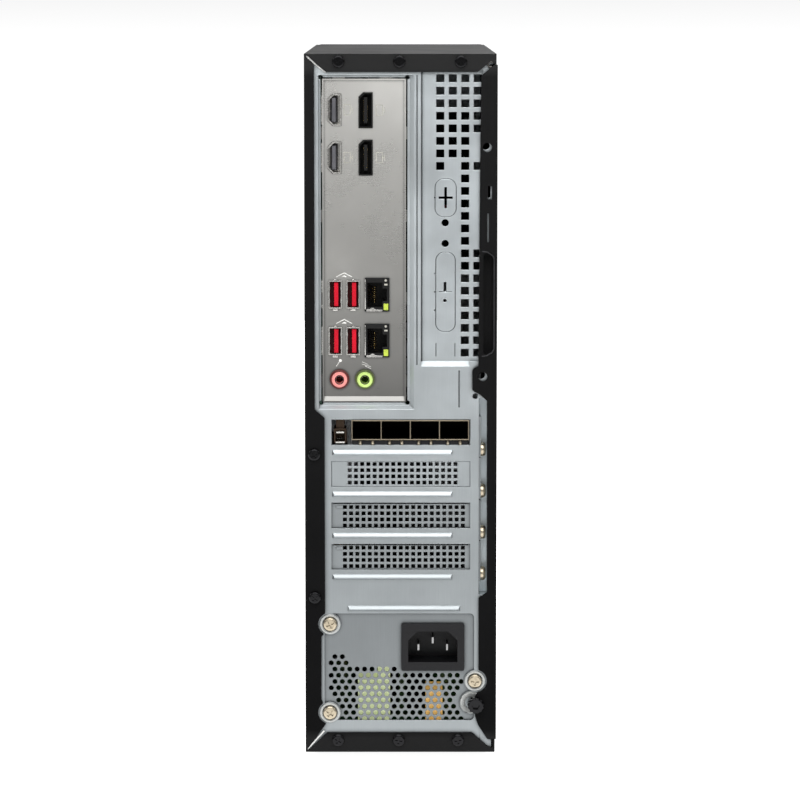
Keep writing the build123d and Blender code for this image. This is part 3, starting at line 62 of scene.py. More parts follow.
REAR_PLANE = 0.146
CAMERA_DISTANCE = 1.7974
CAMERA_HEIGHT = 0.3758
CAMERA_PITCH = 6.338
CAMERA_SIDE = 0.0004
LENS = 168.16


def make_camera():
    """The photograph's view: behind the computer, a little above it and looking slightly down."""
    data = bpy.data.cameras.new("camera")
    data.lens = LENS
    data.sensor_width = 36.0
    data.clip_end = 100.0
    camera = bpy.data.objects.new("camera", data)
    camera.location = (CAMERA_SIDE, REAR_PLANE + CAMERA_DISTANCE, CAMERA_HEIGHT)
    camera.rotation_euler = (math.radians(90 - CAMERA_PITCH), 0, math.radians(180))
    bpy.context.scene.collection.objects.link(camera)
    bpy.context.scene.camera = camera


def add_softbox(name, place, aim, size, watts):
    """Rectangular area light at a place, aimed at a point."""
    data = bpy.data.lights.new(name, "AREA")
    data.shape = "RECTANGLE"
    data.size, data.size_y = size
    data.energy = watts
    light = bpy.data.objects.new(name, data)
    light.location = place
    light.rotation_euler = (Vector(aim) - Vector(place)).to_track_quat("-Z", "Y").to_euler()
    bpy.context.scene.collection.objects.link(light)


    light.visible_camera = False


def make_surround():
    """Surround: white below the horizon behind the computer, and softer above it and on the camera's side."""
    world = bpy.data.worlds.new("surround")
    world.use_nodes = True
    nodes, links = world.node_tree.nodes, world.node_tree.links
    split = nodes.new("ShaderNodeSeparateXYZ")
    links.new(nodes.new("ShaderNodeTexCoord").outputs["Generated"], split.inputs[0])
    levels = []
    for axis, low, high, out_low, out_high in (("Z", -0.02, 0.05, 1.08, 0.42), ("Y", -0.1, 0.5, 1.0, 0.55)):
        level = nodes.new("ShaderNodeMapRange")
        links.new(split.outputs[axis], level.inputs["Value"])
        for socket, number in zip(("From Min", "From Max", "To Min", "To Max"), (low, high, out_low, out_high)):
            level.inputs[socket].default_value = number
        levels.append(level.outputs["Result"])
    strength = nodes.new("ShaderNodeMath")
    strength.operation = "MULTIPLY"
    for level, socket in zip(levels, strength.inputs):
        links.new(level, socket)
    background = nodes["Background"]
    background.inputs["Color"].default_value = (1.0, 1.0, 1.0, 1.0)
    links.new(strength.outputs[0], background.inputs["Strength"])
    bpy.context.scene.world = world


def make_studio():
    """Softboxes near the connector side, in front and at both sides."""
    make_surround()
    add_softbox("connector_softbox", (0.0, 0.85, 0.95), (0.0, 0.146, 0.2), (1.0, 0.9), 12.0)
    add_softbox("front_softbox", (-0.6, -2.2, 1.7), (0.0, -0.1, 0.2), (1.6, 0.9), 16.0)
    add_softbox("cover_softbox", (-2.2, 0.1, 1.5), (0.0, 0.0, 0.17), (1.6, 0.9), 14.0)
    add_softbox("board_softbox", (2.2, 0.1, 1.5), (0.0, 0.0, 0.17), (1.6, 0.9), 14.0)
    bpy.context.scene.view_settings.view_transform = "Standard"


# ================= materials =================


class Finish:
    """Principled material, with the node recipes that the finishes here share. Lengths are in millimetres."""

    def __init__(self, name, colour, roughness, metallic=0.0, **sockets):
        self.material = bpy.data.materials.new(name)
        self.material.use_nodes = True
        self.material.diffuse_color = (*colour, 1.0)
        self.tree = self.material.node_tree
        self.shader = self.tree.nodes["Principled BSDF"]
        self.colour = colour
        self.height = None
        self.shader.inputs["Base Color"].default_value = (*colour, 1.0)
        self.shader.inputs["Roughness"].default_value = roughness
        self.shader.inputs["Metallic"].default_value = metallic
        for socket, value in sockets.items():
            self.shader.inputs[socket.replace("_", " ")].default_value = value
        place = self.node("TexCoord").outputs["Object"]
        self.place = self.maths("SCALE", place, 1.0 / MM)

    def node(self, kind, **settings):
        made = self.tree.nodes.new("ShaderNode" + kind)
        for key, value in settings.items():
            setattr(made, key, value)
        return made

    def join(self, value, socket):
        """Feeds a socket from another socket, or sets it to a plain value."""
        if isinstance(value, bpy.types.NodeSocket):
            self.tree.links.new(value, socket)
        else:
            socket.default_value = value

    def maths(self, operation, a, b=0.0, c=None):
        """Maths node. SCALE works on a vector and the others on numbers."""
        vector = operation == "SCALE"
        made = self.node("VectorMath" if vector else "Math", operation=operation)
        self.join(a, made.inputs[0])
        self.join(b, made.inputs["Scale"] if vector else made.inputs[1])
        if c is not None:
            self.join(c, made.inputs[2])
        return made.outputs[0]

    def stretched(self, scale, place=None):
        """Coordinates multiplied along each axis."""
        made = self.node("Mapping")
        self.join(place or self.place, made.inputs["Vector"])
        made.inputs["Scale"].default_value = scale
        return made.outputs[0]

    def axes(self):
        return self.node_outputs(self.place)

    def node_outputs(self, vector):
        split = self.node("SeparateXYZ")
        self.join(vector, split.inputs[0])
        return split.outputs

    def noise(self, size, detail=3.0, stretch=(1, 1, 1), rough=0.55):
        """Cloudy pattern from 0 to 1 with features about size across."""
        made = self.node("TexNoise")
        self.join(self.stretched([s / size for s in stretch]), made.inputs["Vector"])
        made.inputs["Scale"].default_value = 1.0
        made.inputs["Detail"].default_value = detail
        made.inputs["Roughness"].default_value = rough
        return made.outputs["Fac"]

    def cells(self, size, stretch=(1, 1, 1), feature="F1"):
        made = self.node("TexVoronoi", feature=feature)
        self.join(self.stretched([s / size for s in stretch]), made.inputs["Vector"])
        made.inputs["Scale"].default_value = 1.0
        return made

    def ramp(self, value, low, high, out_low=0.0, out_high=1.0):
        """Value between low and high, spread evenly over the output range and held at its ends."""
        made = self.node("MapRange")
        self.join(value, made.inputs["Value"])
        for socket, number in zip(("From Min", "From Max", "To Min", "To Max"), (low, high, out_low, out_high)):
            made.inputs[socket].default_value = number
        return made.outputs["Result"]

    def mix(self, amount, first, second):
        """Colour between two colours, which are triples or sockets."""
        made = self.node("Mix", data_type="RGBA")
        self.join(amount, made.inputs["Factor"])
        for value, socket in ((first, made.inputs[6]), (second, made.inputs[7])):
            self.join(value if isinstance(value, bpy.types.NodeSocket) else (*value, 1.0), socket)
        return made.outputs[2]

    def paint(self, colour):
        self.join(colour, self.shader.inputs["Base Color"])
        return self

    def gloss(self, roughness):
        self.join(roughness, self.shader.inputs["Roughness"])
        return self

    def relief(self, value, depth, strength=1.0):
        """Adds surface relief: depth is its height at value 1."""
        made = self.node("Bump")
        self.join(value, made.inputs["Height"])
        made.inputs["Distance"].default_value = depth * MM
        made.inputs["Strength"].default_value = strength
        if self.height:
            self.join(self.height, made.inputs["Normal"])
        self.height = made.outputs["Normal"]
        self.join(self.height, self.shader.inputs["Normal"])
        return self

    def soft_edges(self, radius):
        """Rounds the look of sharp edges, so that they catch the light."""
        made = self.node("Bevel", samples=4)
        made.inputs["Radius"].default_value = radius * MM
        self.height = made.outputs["Normal"]
        self.join(self.height, self.shader.inputs["Normal"])
        return self

    def edge_mask(self, radius):
        """1 near sharp edges and 0 on flat faces."""
        rounded = self.node("Bevel", samples=4)
        rounded.inputs["Radius"].default_value = radius * MM
        flat = self.node("NewGeometry")
        dot = self.node("VectorMath", operation="DOT_PRODUCT")
        self.join(rounded.outputs["Normal"], dot.inputs[0])
        self.join(flat.outputs["True Normal"], dot.inputs[1])
        return self.ramp(dot.outputs["Value"], 0.995, 0.86)

    def base(self):
        """Current source of the base colour."""
        links = self.shader.inputs["Base Color"].links
        return links[0].from_socket if links else self.colour

    def darken(self, factor):
        """Multiplies the base colour by a factor from a socket."""
        return self.paint(self.mix(factor, (0.0, 0.0, 0.0), self.base()))

    def paint_crevice_shade(self, reach, darkest):
        """Painted shade: darkens the base colour in corners and gaps up to reach across."""
        found = self.node("AmbientOcclusion", samples=8)
        found.inputs["Distance"].default_value = reach * MM
        return self.darken(self.ramp(found.outputs["AO"], 0.3, 0.95, darkest, 1.0))

    def fade(self, axis, low, high, at_low, at_high):
        """Painted shade: scales the base colour along an axis (0, 1 or 2)."""
        return self.darken(self.ramp(self.axes()[axis], low, high, at_low, at_high))


def shade(colour, factor):
    return tuple(min(1.0, c * factor) for c in colour)


def powder_coat(name, colour, roughness, grain=0.55):
    """Satin powder coat: fine orange peel, cloudy lustre and slightly rubbed edges, with painted highlight and shade
    by height on the rear flanges.
    """
    finish = Finish(name, colour, roughness, Specular_IOR_Level=0.2)
    finish.soft_edges(0.35)
    cloud = finish.noise(38.0, 4.0)
    peel = finish.noise(grain, 2.0)
    speck = finish.noise(0.22, 1.0)
    base = finish.mix(finish.ramp(cloud, 0.3, 0.7), shade(colour, 0.85), shade(colour, 1.25))
    worn = finish.maths("MULTIPLY", finish.edge_mask(0.3), finish.ramp(finish.noise(5.0, 3.0), 0.35, 0.7))
    finish.paint(finish.mix(finish.maths("MULTIPLY", worn, 0.4), base, shade(colour, 4.0)))
    finish.gloss(finish.ramp(cloud, 0.3, 0.7, roughness - 0.05, roughness + 0.06))
    # Painted highlight and shade on the rear flanges: their specular level is low at their lower end, grows with
    # height, and rises along their top and bottom edges; elsewhere it stays at 0.2.
    _, depth, height = finish.axes()
    painted_sheen = finish.ramp(height, 40.0, 330.0, 0.02, 0.09)
    painted_sheen = finish.maths("ADD", painted_sheen, finish.ramp(height, 332.0, 336.0, 0.0, 0.15))
    painted_sheen = finish.maths("ADD", painted_sheen, finish.ramp(height, 14.0, 10.0, 0.0, 0.12))
    painted_flange_sheen = finish.maths("MULTIPLY", finish.ramp(depth, 144.0, 145.0), finish.maths("SUBTRACT", painted_sheen, 0.2))
    finish.join(finish.maths("ADD", painted_flange_sheen, 0.2), finish.shader.inputs["Specular IOR Level"])
    return finish.relief(peel, 0.035, 0.5).relief(speck, 0.012, 0.35)


def rolled_steel(
        name, colour, roughness, grain=(1, 1, 0.02), streak=0.35, cloud_size=26.0, reach=2.5, marks=0.3,
        rounding=0.45):
    """Plated sheet: faint rolling lines, cloudy plating, painted shade in corners and gaps, and soft bright edges."""
    finish = Finish(name, colour, roughness, 1.0)
    if rounding:
        finish.soft_edges(rounding)
    cloud = finish.noise(cloud_size, 5.0)
    lines = finish.noise(streak, 3.0, grain)
    fine = finish.noise(0.9, 2.0)
    tone = finish.mix(finish.ramp(cloud, 0.32, 0.68), shade(colour, 0.93), shade(colour, 1.07))
    tone = finish.mix(finish.ramp(lines, 0.35, 0.75, 0.0, marks), tone, shade(colour, 0.86))
    # Painted shade in corners and gaps.
    finish.paint(tone).paint_crevice_shade(reach, 0.25)
    along = finish.ramp(lines, 0.3, 0.7, -0.1 * marks, 0.13 * marks)
    spread = finish.maths("ADD", finish.ramp(cloud, 0.3, 0.7, -0.04, 0.05), along)
    finish.gloss(finish.maths("ADD", spread, roughness))
    return finish.relief(lines, 0.012 * marks, 0.5).relief(fine, 0.005, 0.3)


def bright_plate(name, colour, roughness):
    """Bright plated small part with faint wiping marks."""
    finish = Finish(name, colour, roughness, 1.0)
    finish.soft_edges(0.15)
    marks = finish.noise(1.6, 4.0)
    finish.paint(finish.mix(finish.ramp(marks, 0.3, 0.7), shade(colour, 0.86), shade(colour, 1.08)))
    finish.gloss(finish.ramp(marks, 0.25, 0.75, roughness - 0.05, roughness + 0.09))
    return finish.relief(finish.noise(0.35, 2.0), 0.004, 0.3)


def glossy_black():
    """Black plated screws: a hard gloss that catches small bright glints."""
    finish = bright_plate("black_screw", (0.009, 0.009, 0.010), 0.2)
    finish.shader.inputs["Coat Weight"].default_value = 0.22
    finish.shader.inputs["Coat Roughness"].default_value = 0.1
    return finish


def moulded(name, colour, roughness, texture=0.5, depth=0.02, edge=0.2, lift=2.2):
    """Moulded plastic: fine spark texture, slight tone drift and lighter edges."""
    finish = Finish(name, colour, roughness, Specular_IOR_Level=0.22)
    finish.soft_edges(edge)
    drift = finish.noise(14.0, 3.0)
    base = finish.mix(finish.ramp(drift, 0.3, 0.7), shade(colour, 0.85), shade(colour, 1.15))
    finish.paint(finish.mix(finish.maths("MULTIPLY", finish.edge_mask(edge), 0.4), base, shade(colour, lift)))
    finish.gloss(finish.ramp(drift, 0.3, 0.7, roughness - 0.05, roughness + 0.07))
    return finish.relief(finish.noise(texture, 2.0), depth, 0.45)


def solder_mask(name, colour, copper):
    """Circuit board: solder mask with tracks, plated pads and a glass-weave hint."""
    finish = Finish(name, colour, 0.35, Coat_Weight=0.3)
    x, y, z = finish.axes()
    across = finish.cells(3.2, (1, 1, 1), "DISTANCE_TO_EDGE").outputs["Distance"]
    track = finish.node("TexBrick", offset=0.5)
    plane = finish.node("CombineXYZ")
    finish.join(y, plane.inputs[0])
    finish.join(z, plane.inputs[1])
    finish.join(plane.outputs[0], track.inputs["Vector"])
    for socket, value in (("Scale", 1.0), ("Mortar Size", 0.22), ("Brick Width", 17.0), ("Row Height", 1.3)):
        track.inputs[socket].default_value = value
    track.inputs["Mortar Smooth"].default_value = 0.1
    lines = finish.maths("MULTIPLY", track.outputs["Fac"], finish.ramp(finish.noise(16.0, 1.0), 0.45, 0.55))
    pads = finish.ramp(across, 0.06, 0.03)
    drift = finish.noise(30.0, 3.0)
    base = finish.mix(finish.ramp(drift, 0.3, 0.7), shade(colour, 0.8), shade(colour, 1.2))
    base = finish.mix(lines, base, copper)
    finish.paint(finish.mix(finish.maths("MULTIPLY", pads, 0.5), base, shade(copper, 1.6)))
    finish.gloss(finish.ramp(lines, 0.0, 1.0, 0.38, 0.28))
    return finish.relief(lines, 0.03, 0.6).relief(finish.noise(0.8, 2.0), 0.006, 0.3)


def memory_card(name, colour):
    """Memory board whose raised chips are black; the modules stand 19 mm apart along Y."""
    finish = solder_mask(name, colour, shade(colour, 1.9))
    y = finish.axes()[1]
    module_low = middle(box_mm("memory_modules")[1]) - 9.5
    off = finish.maths("ABSOLUTE", finish.maths("WRAP", finish.maths("SUBTRACT", y, module_low), 9.5, -9.5))
    chip = finish.ramp(off, 0.7, 0.75)
    board = finish.shader.inputs["Base Color"].links[0].from_socket
    return finish.paint(finish.mix(chip, board, (0.012, 0.012, 0.013)))


def wrapped_tape(name, first, second):
    """Polyester tape on transformer windings: overlapping turns, one colour each side of the row, and a painted glow
    in the tape's colours.
    """
    finish = Finish(name, first, 0.32, Coat_Weight=0.2, Emission_Strength=0.45)
    side = finish.ramp(finish.axes()[0], -3.0, 2.0)
    turns = finish.node("TexWave", wave_type="BANDS", bands_direction="Z", wave_profile="SAW")
    finish.join(finish.stretched((0.05, 0.05, 0.16)), turns.inputs["Vector"])
    turns.inputs["Scale"].default_value = 1.0
    turns.inputs["Distortion"].default_value = 0.6
    base = finish.mix(side, second, first)
    tape = finish.mix(finish.ramp(turns.outputs["Fac"], 0.0, 1.0, 0.0, 0.3), base, shade(first, 0.5))
    finish.paint(tape)
    # Painted light: the tape glows in its own colours, though it is no lamp.
    finish.join(tape, finish.shader.inputs["Emission Color"])
    return finish.relief(turns.outputs["Fac"], 0.12, 0.6).relief(finish.noise(4.0, 3.0), 0.1, 0.4)


def braided(name, colour, roughness=0.55):
    """Woven sleeve over a wire bundle."""
    finish = Finish(name, colour, roughness, Sheen_Weight=0.3)
    weave = finish.cells(0.9, (1, 1, 1)).outputs["Distance"]
    thread = finish.noise(0.5, 2.0)
    finish.paint(finish.mix(finish.ramp(weave, 0.1, 0.6), shade(colour, 1.9), shade(colour, 0.5)))
    finish.gloss(finish.ramp(thread, 0.3, 0.7, roughness - 0.08, roughness + 0.1))
    return finish.relief(weave, 0.25, 0.7)


def machined(name, colour, roughness, grain):
    """Milled or extruded aluminium with tool marks along one direction."""
    finish = Finish(name, colour, roughness, 1.0)
    finish.soft_edges(0.2)
    marks = finish.noise(0.25, 3.0, grain)
    cloud = finish.noise(18.0, 3.0)
    finish.paint(finish.mix(finish.ramp(marks, 0.3, 0.7), shade(colour, 0.82), shade(colour, 1.08)))
    finish.gloss(finish.ramp(cloud, 0.3, 0.7, roughness - 0.06, roughness + 0.08))
    return finish.relief(marks, 0.012, 0.6)


def printed(name, colour, roughness=0.5):
    """Screen-printed or label ink with slight mottling."""
    finish = Finish(name, colour, roughness)
    mottle = finish.noise(0.6, 3.0)
    finish.paint(finish.mix(finish.ramp(mottle, 0.3, 0.7), shade(colour, 0.88), shade(colour, 1.04)))
    finish.gloss(finish.ramp(mottle, 0.3, 0.7, roughness - 0.06, roughness + 0.1))
    return finish.relief(mottle, 0.008, 0.3)


def lens(name, colour, glow):
    """Clear tinted light window with a faint inner pattern."""
    finish = Finish(name, colour, 0.18, Coat_Weight=0.6, Emission_Strength=glow)
    finish.shader.inputs["Emission Color"].default_value = (*colour, 1.0)
    ribs = finish.noise(0.5, 1.0, (1, 1, 2.0))
    finish.paint(finish.mix(finish.ramp(ribs, 0.3, 0.7), shade(colour, 0.7), shade(colour, 1.2)))
    return finish.relief(ribs, 0.05, 0.4)


def floor_finish():
    """White sweep that glows behind the computer and turns grey towards the camera."""
    finish = Finish("floor", (0.9, 0.9, 0.9), 0.7, Specular_IOR_Level=0.2)
    finish.shader.inputs["Emission Color"].default_value = (1.0, 1.0, 1.0, 1.0)
    finish.join(finish.ramp(finish.axes()[1], 260.0, 900.0, 0.95, 0.12), finish.shader.inputs["Emission Strength"])
    drift = finish.noise(300.0, 3.0)
    finish.paint(finish.mix(finish.ramp(drift, 0.3, 0.7), (0.89, 0.89, 0.89), (0.92, 0.92, 0.92)))
    finish.gloss(finish.ramp(drift, 0.3, 0.7, 0.5, 0.6))
    return finish.relief(finish.noise(2.0, 2.0), 0.02, 0.2)


ZINC = (0.47, 0.505, 0.52)
BRASS = (0.78, 0.55, 0.22)
NEARLY_BLACK = (0.0045, 0.0045, 0.0047)


def shield_steel():
    """Nickel shield, with painted shade that darkens it towards its lower end."""
    finish = rolled_steel(
        "shield_steel", (0.80, 0.79, 0.755), 0.3, (0.03, 1, 1), 0.3, 60.0, 1.5, marks=0.04, rounding=0.0)
    return finish.fade(2, 176.0, 325.0, 0.24, 1.0)


def zinc_steel():
    """Zinc-plated sheet of the chassis, with painted shade that darkens it towards its lower end."""
    return rolled_steel("zinc_steel", shade(ZINC, 1.2), 0.36).fade(2, 90.0, 245.0, 0.5, 1.0)


def cage_metal():
    """Cage sheet: a bright rim at its mouth, and painted shade that makes its brownish inside dark."""
    finish = rolled_steel("cage_metal", (0.27, 0.23, 0.17), 0.4, (1, 0.02, 1), 0.3)
    mouth = box_mm("network_card_cage")[1][1]
    return finish.fade(1, mouth - 1.3, mouth - 0.2, 0.05, 1.0)


def usb_plastic():
    """Red insulator, with painted shade that darkens it inside the socket."""
    finish = moulded("usb_red", (0.50, 0.002, 0.016), 0.4, lift=1.2)
    mouth = box_mm("usb_tongues")[1][1]
    return finish.fade(1, mouth - 5.0, mouth - 0.5, 0.13, 1.0)


FINISHES = {
    "shell_black": powder_coat("shell_black", NEARLY_BLACK, 0.6),
    "black_screw": glossy_black(),
    "rubber_black": moulded("rubber_black", (0.02, 0.02, 0.02), 0.75, 0.8, 0.04),
    "zinc_steel": zinc_steel(),
    "plated_screw": bright_plate("plated_screw", (0.45, 0.39, 0.29), 0.3),
    "shield_steel": shield_steel(),
    "connector_metal": bright_plate("connector_metal", (0.62, 0.61, 0.58), 0.24),
    "connector_dark": moulded("connector_dark", (0.006, 0.006, 0.0055), 0.4),
    "connector_black": moulded("connector_black", (0.005, 0.005, 0.005), 0.45),
    "connector_pale": moulded("connector_pale", (0.66, 0.62, 0.52), 0.4, lift=1.1),
    "usb_red": usb_plastic(),
    "indicator_green": lens("indicator_green", (0.42, 0.52, 0.05), 0.15),
    "audio_pink": moulded("audio_pink", (0.70, 0.25, 0.23), 0.35, lift=1.2),
    "audio_lime": moulded("audio_lime", (0.50, 0.68, 0.20), 0.35, lift=1.2),
    "circuit_board": solder_mask("circuit_board", (0.006, 0.035, 0.022), (0.02, 0.10, 0.055)),
    "memory_board": memory_card("memory_board", (0.008, 0.06, 0.03)),
    "card_board": solder_mask("card_board", (0.008, 0.07, 0.028), (0.03, 0.16, 0.06)),
    "fin_aluminium": machined("fin_aluminium", (0.68, 0.69, 0.70), 0.32, (1, 1, 0.02)),
    "cage_metal": cage_metal(),
    "inlet_black": moulded("inlet_black", (0.006, 0.006, 0.007), 0.38),
    "tape_yellow": wrapped_tape("tape_yellow", (0.74, 0.83, 0.46), (0.95, 0.52, 0.12)),
    "bezel_black": moulded("bezel_black", (0.010, 0.010, 0.011), 0.5, 0.7, 0.045, 0.6),
    "button_black": moulded("button_black", (0.02, 0.02, 0.022), 0.25, 0.5, 0.01),
    "drive_metal": machined("drive_metal", (0.46, 0.47, 0.48), 0.42, (1, 0.04, 1)),
    "cable_black": braided("cable_black", (0.012, 0.012, 0.013)),
    "cable_red": braided("cable_red", (0.34, 0.015, 0.018), 0.45),
    "fan_black": moulded("fan_black", (0.010, 0.010, 0.011), 0.38, 0.6, 0.02),
}
# Darker and lighter copies of the zinc sheet: painted shade on sheets that the light reaches less than their
# neighbours, and painted light on the slot retainer.
SHADED_COVER = rolled_steel("shaded_cover", shade(ZINC, 0.55), 0.4)
NODE_FINISHES = {
    # Painted shade: a darker copy of the zinc sheet for the grille.
    "psu_grille": rolled_steel("shaded_grille_steel", shade(ZINC, 0.42), 0.4),
    "slot_cover_3": SHADED_COVER,
    "slot_cover_4": SHADED_COVER,
    # Painted light: a brighter copy of the zinc sheet for the retainer.
    "slot_retainer": rolled_steel("lit_retainer_steel", shade(ZINC, 1.5), 0.5, reach=1.0),
    "network_card_service_port": bright_plate("service_socket", (0.05, 0.035, 0.025), 0.35),
    "psu_inlet_pins": bright_plate("inlet_pins", (0.36, 0.36, 0.36), 0.35),
}


def coat_nodes():
    """Gives each CAD node its own finish, or else the finish of its material slot."""
    for row in frame["record"]["subparts"]:
        mesh = frame["nodes"][row["node"]].data
        finish = NODE_FINISHES.get(row["node"], FINISHES[row["material_slot"]])
        mesh.materials.clear()
        mesh.materials.append(finish.material)


GOLD = bright_plate("contact_gold", BRASS, 0.24)
WHITE_INK = printed("white_ink", (0.80, 0.80, 0.76))
GREY_INK = printed("grey_ink", (0.42, 0.41, 0.36))
DARK_INK = printed("dark_ink", (0.03, 0.03, 0.035))
LABEL = printed("label_paper", (0.62, 0.63, 0.64), 0.4)
LEAD = moulded("wire_jacket", (0.014, 0.014, 0.015), 0.4, 0.6, 0.01)
STATUS = moulded("status_ring", (0.45, 0.46, 0.48), 0.25, 0.6, 0.005, lift=1.1)
CHIP = moulded("chip_resin", (0.010, 0.010, 0.011), 0.5, 0.3, 0.012)
FERRITE = moulded("ferrite", (0.05, 0.05, 0.052), 0.6, 0.4, 0.03)
NYLON = moulded("nylon", (0.5, 0.5, 0.47), 0.4, 0.6, 0.01, lift=1.2)
FILTER = moulded("filter_foam", (0.012, 0.012, 0.013), 0.85, 0.5, 0.08)
RING_STEEL = bright_plate("ring_steel", (0.42, 0.43, 0.42), 0.38)
# Painted highlight: bright steel for the cut edges in the flanges' mitres.
MITRE_HIGHLIGHT_STEEL = bright_plate("mitre_highlight_steel", (0.72, 0.72, 0.70), 0.4)
DARK_METAL = bright_plate("dark_metal", (0.09, 0.085, 0.08), 0.35)
SLEEVE_DARK = moulded("sleeve_dark", (0.008, 0.006, 0.006), 0.4)
# Painted shade: darkened copies of the lime and pink jack colours, for the rings round the jacks' noses.
SHADED_LIME = moulded("shaded_lime_collar", (0.08, 0.10, 0.035), 0.45, lift=1.4)
SHADED_PINK = moulded("shaded_pink_collar", (0.09, 0.022, 0.02), 0.45, lift=1.4)
SLATE = moulded("tongue_slate", (0.09, 0.09, 0.10), 0.4, lift=1.5)

# ================= mesh tools =================


def add_block(bm, x, y, z, edge=0.0):
    """Box between three (low, high) ranges with its edges rounded off."""
    spans = (x, y, z)
    verts = bmesh.ops.create_cube(bm, size=1.0)["verts"]
    for vert in verts:
        vert.co = Vector([middle(s) + vert.co[i] * (s[1] - s[0]) for i, s in enumerate(spans)]) * MM
    if edge:
        edges = list({e for v in verts for e in v.link_edges})
        bmesh.ops.bevel(bm, geom=edges, offset=edge * MM, segments=2, profile=0.5, affect="EDGES", clamp_overlap=True)


DIRECTIONS = {
    "+x": (1, 0, 0), "-x": (-1, 0, 0), "+y": (0, 1, 0), "-y": (0, -1, 0), "+z": (0, 0, 1), "-z": (0, 0, -1)}


def placing(origin, axis):
    """Function that takes local (a, b, height) to the model, with the height along the named direction."""
    turn = Vector(DIRECTIONS[axis]).to_track_quat("Z", "Y").to_matrix()
    return lambda a, b, height: (turn @ Vector((a, b, height)) + Vector(origin)) * MM


def add_turned(bm, profile, origin, axis, steps=32):
    """Turned part: (radius, height) pairs go round the axis. A profile off the axis closes on itself as a ring."""
    place = placing(origin, axis)
    rings = []
    for radius, height in profile:
        ring = []
        for i in range(steps if radius else 1):
            angle = 2 * math.pi * i / steps
            ring.append(bm.verts.new(place(radius * math.cos(angle), radius * math.sin(angle), height)))
        rings.append(ring)
    pairs = list(zip(rings, rings[1:]))
    if profile[0][0] > 0 and profile[-1][0] > 0:
        pairs.append((rings[-1], rings[0]))
    for low, high in pairs:
        for i in range(steps):
            k = (i + 1) % steps
            if len(low) == 1:
                corners = (low[0], high[k], high[i])
            elif len(high) == 1:
                corners = (low[i], low[k], high[0])
            else:
                corners = (low[i], low[k], high[k], high[i])
            bm.faces.new(corners)


def add_extruded(bm, outline, low, high, origin, axis):
    """Outline of local (a, b) points, stretched between two heights along the named direction."""
    place = placing(origin, axis)
    ends = [[bm.verts.new(place(a, b, height)) for a, b in outline] for height in (low, high)]
    count = len(outline)
    for i in range(count):
        k = (i + 1) % count
        bm.faces.new((ends[0][i], ends[0][k], ends[1][k], ends[1][i]))
    bm.faces.new(ends[0][::-1])
    bm.faces.new(ends[1])


def add_screw(bm, origin, axis, radius, height):
    """Pan head with a cross recess: a rounded rim, and four lands that stand on the recess's floor."""
    inner = radius * 0.62
    rim = ((inner, 0.0), (radius, 0.0), (radius, height * 0.55), (radius * 0.9, height * 0.85), (inner, height))
    add_turned(bm, rim, origin, axis, 28)
    floor = ((0, 0.0), (inner - 0.02, 0.0), (inner - 0.02, height * 0.35), (0, height * 0.35))
    add_turned(bm, floor, origin, axis, 28)
    arm = radius * 0.14
    corner = math.degrees(math.asin(arm / inner))
    for quarter in range(4):
        land = [(arm, arm)] + arc((0, 0), inner - 0.01, corner, 90 - corner, 5)
        for _ in range(quarter):
            land = [(-b, a) for a, b in land]
        add_extruded(bm, land, height * 0.36, height, origin, axis)


def add_bars(bm, across, along, level, widths, axis="x"):
    """Plain printed bars on a label: one bar for each share of the label's length."""
    step = (across[1] - across[0]) / len(widths)
    for i, share in enumerate(widths):
        low = across[0] + step * (i + 0.2)
        reach = (along[0], along[0] + (along[1] - along[0]) * share)
        outline = [(low, reach[0]), (low + step * 0.5, reach[0]), (low + step * 0.5, reach[1]), (low, reach[1])]
        if axis == "x":
            outline = [(b, a) for a, b in outline]
        add_prism(bm, outline, level[0], level[1], axis)


def add_tube(bm, points, radius, sides=8):
    """Round bar along points, with flat ends."""
    path = [Vector(p) for p in points]
    rings = []
    side = None
    for i, point in enumerate(path):
        ahead = (path[min(i + 1, len(path) - 1)] - path[max(i - 1, 0)]).normalized()
        if side is None:
            side = ahead.orthogonal().normalized()
        side = (side - ahead * side.dot(ahead)).normalized()
        other = ahead.cross(side)
        ring = []
        for k in range(sides):
            angle = 2 * math.pi * k / sides
            offset = side * math.cos(angle) + other * math.sin(angle)
            ring.append(bm.verts.new((point + offset * radius) * MM))
        rings.append(ring)
    for low, high in zip(rings, rings[1:]):
        for k in range(sides):
            n = (k + 1) % sides
            bm.faces.new((low[k], low[n], high[n], high[k]))
    bm.faces.new(rings[0][::-1])
    bm.faces.new(rings[-1])


def add_prism(bm, outline, low, high, axis="y"):
    """Outline of (first, second) coordinates, stretched between two levels of the axis."""
    place = {
        "x": lambda a, b, level: (level, a, b),
        "y": lambda a, b, level: (a, level, b),
        "z": lambda a, b, level: (a, b, level)}[axis]
    ends = [[bm.verts.new(Vector(place(a, b, level)) * MM) for a, b in outline] for level in (low, high)]
    count = len(outline)
    for i in range(count):
        k = (i + 1) % count
        bm.faces.new((ends[0][i], ends[0][k], ends[1][k], ends[1][i]))
    bm.faces.new(ends[0][::-1])
    bm.faces.new(ends[1])


def arc(centre, radius, start, stop, steps):
    """Points in a plane on an arc, with angles in degrees."""
    points = []
    for i in range(steps + 1):
        angle = math.radians(start + (stop - start) * i / steps)
        points.append((centre[0] + radius * math.cos(angle), centre[1] + radius * math.sin(angle)))
    return points


def curve_through(points, steps=8):
    """Smooth line through points in space (Catmull-Rom)."""
    path = [Vector(p) for p in points]
    path = [2 * path[0] - path[1]] + path + [2 * path[-1] - path[-2]]
    line = []
    for a, b, c, d in zip(path, path[1:], path[2:], path[3:]):
        for i in range(steps):
            t = i / steps
            line.append(0.5 * (2 * b + (c - a) * t + (2 * a - 5 * b + 4 * c - d) * t * t
                               + (3 * b - a - 3 * c + d) * t ** 3))
    return line + [path[-2]]


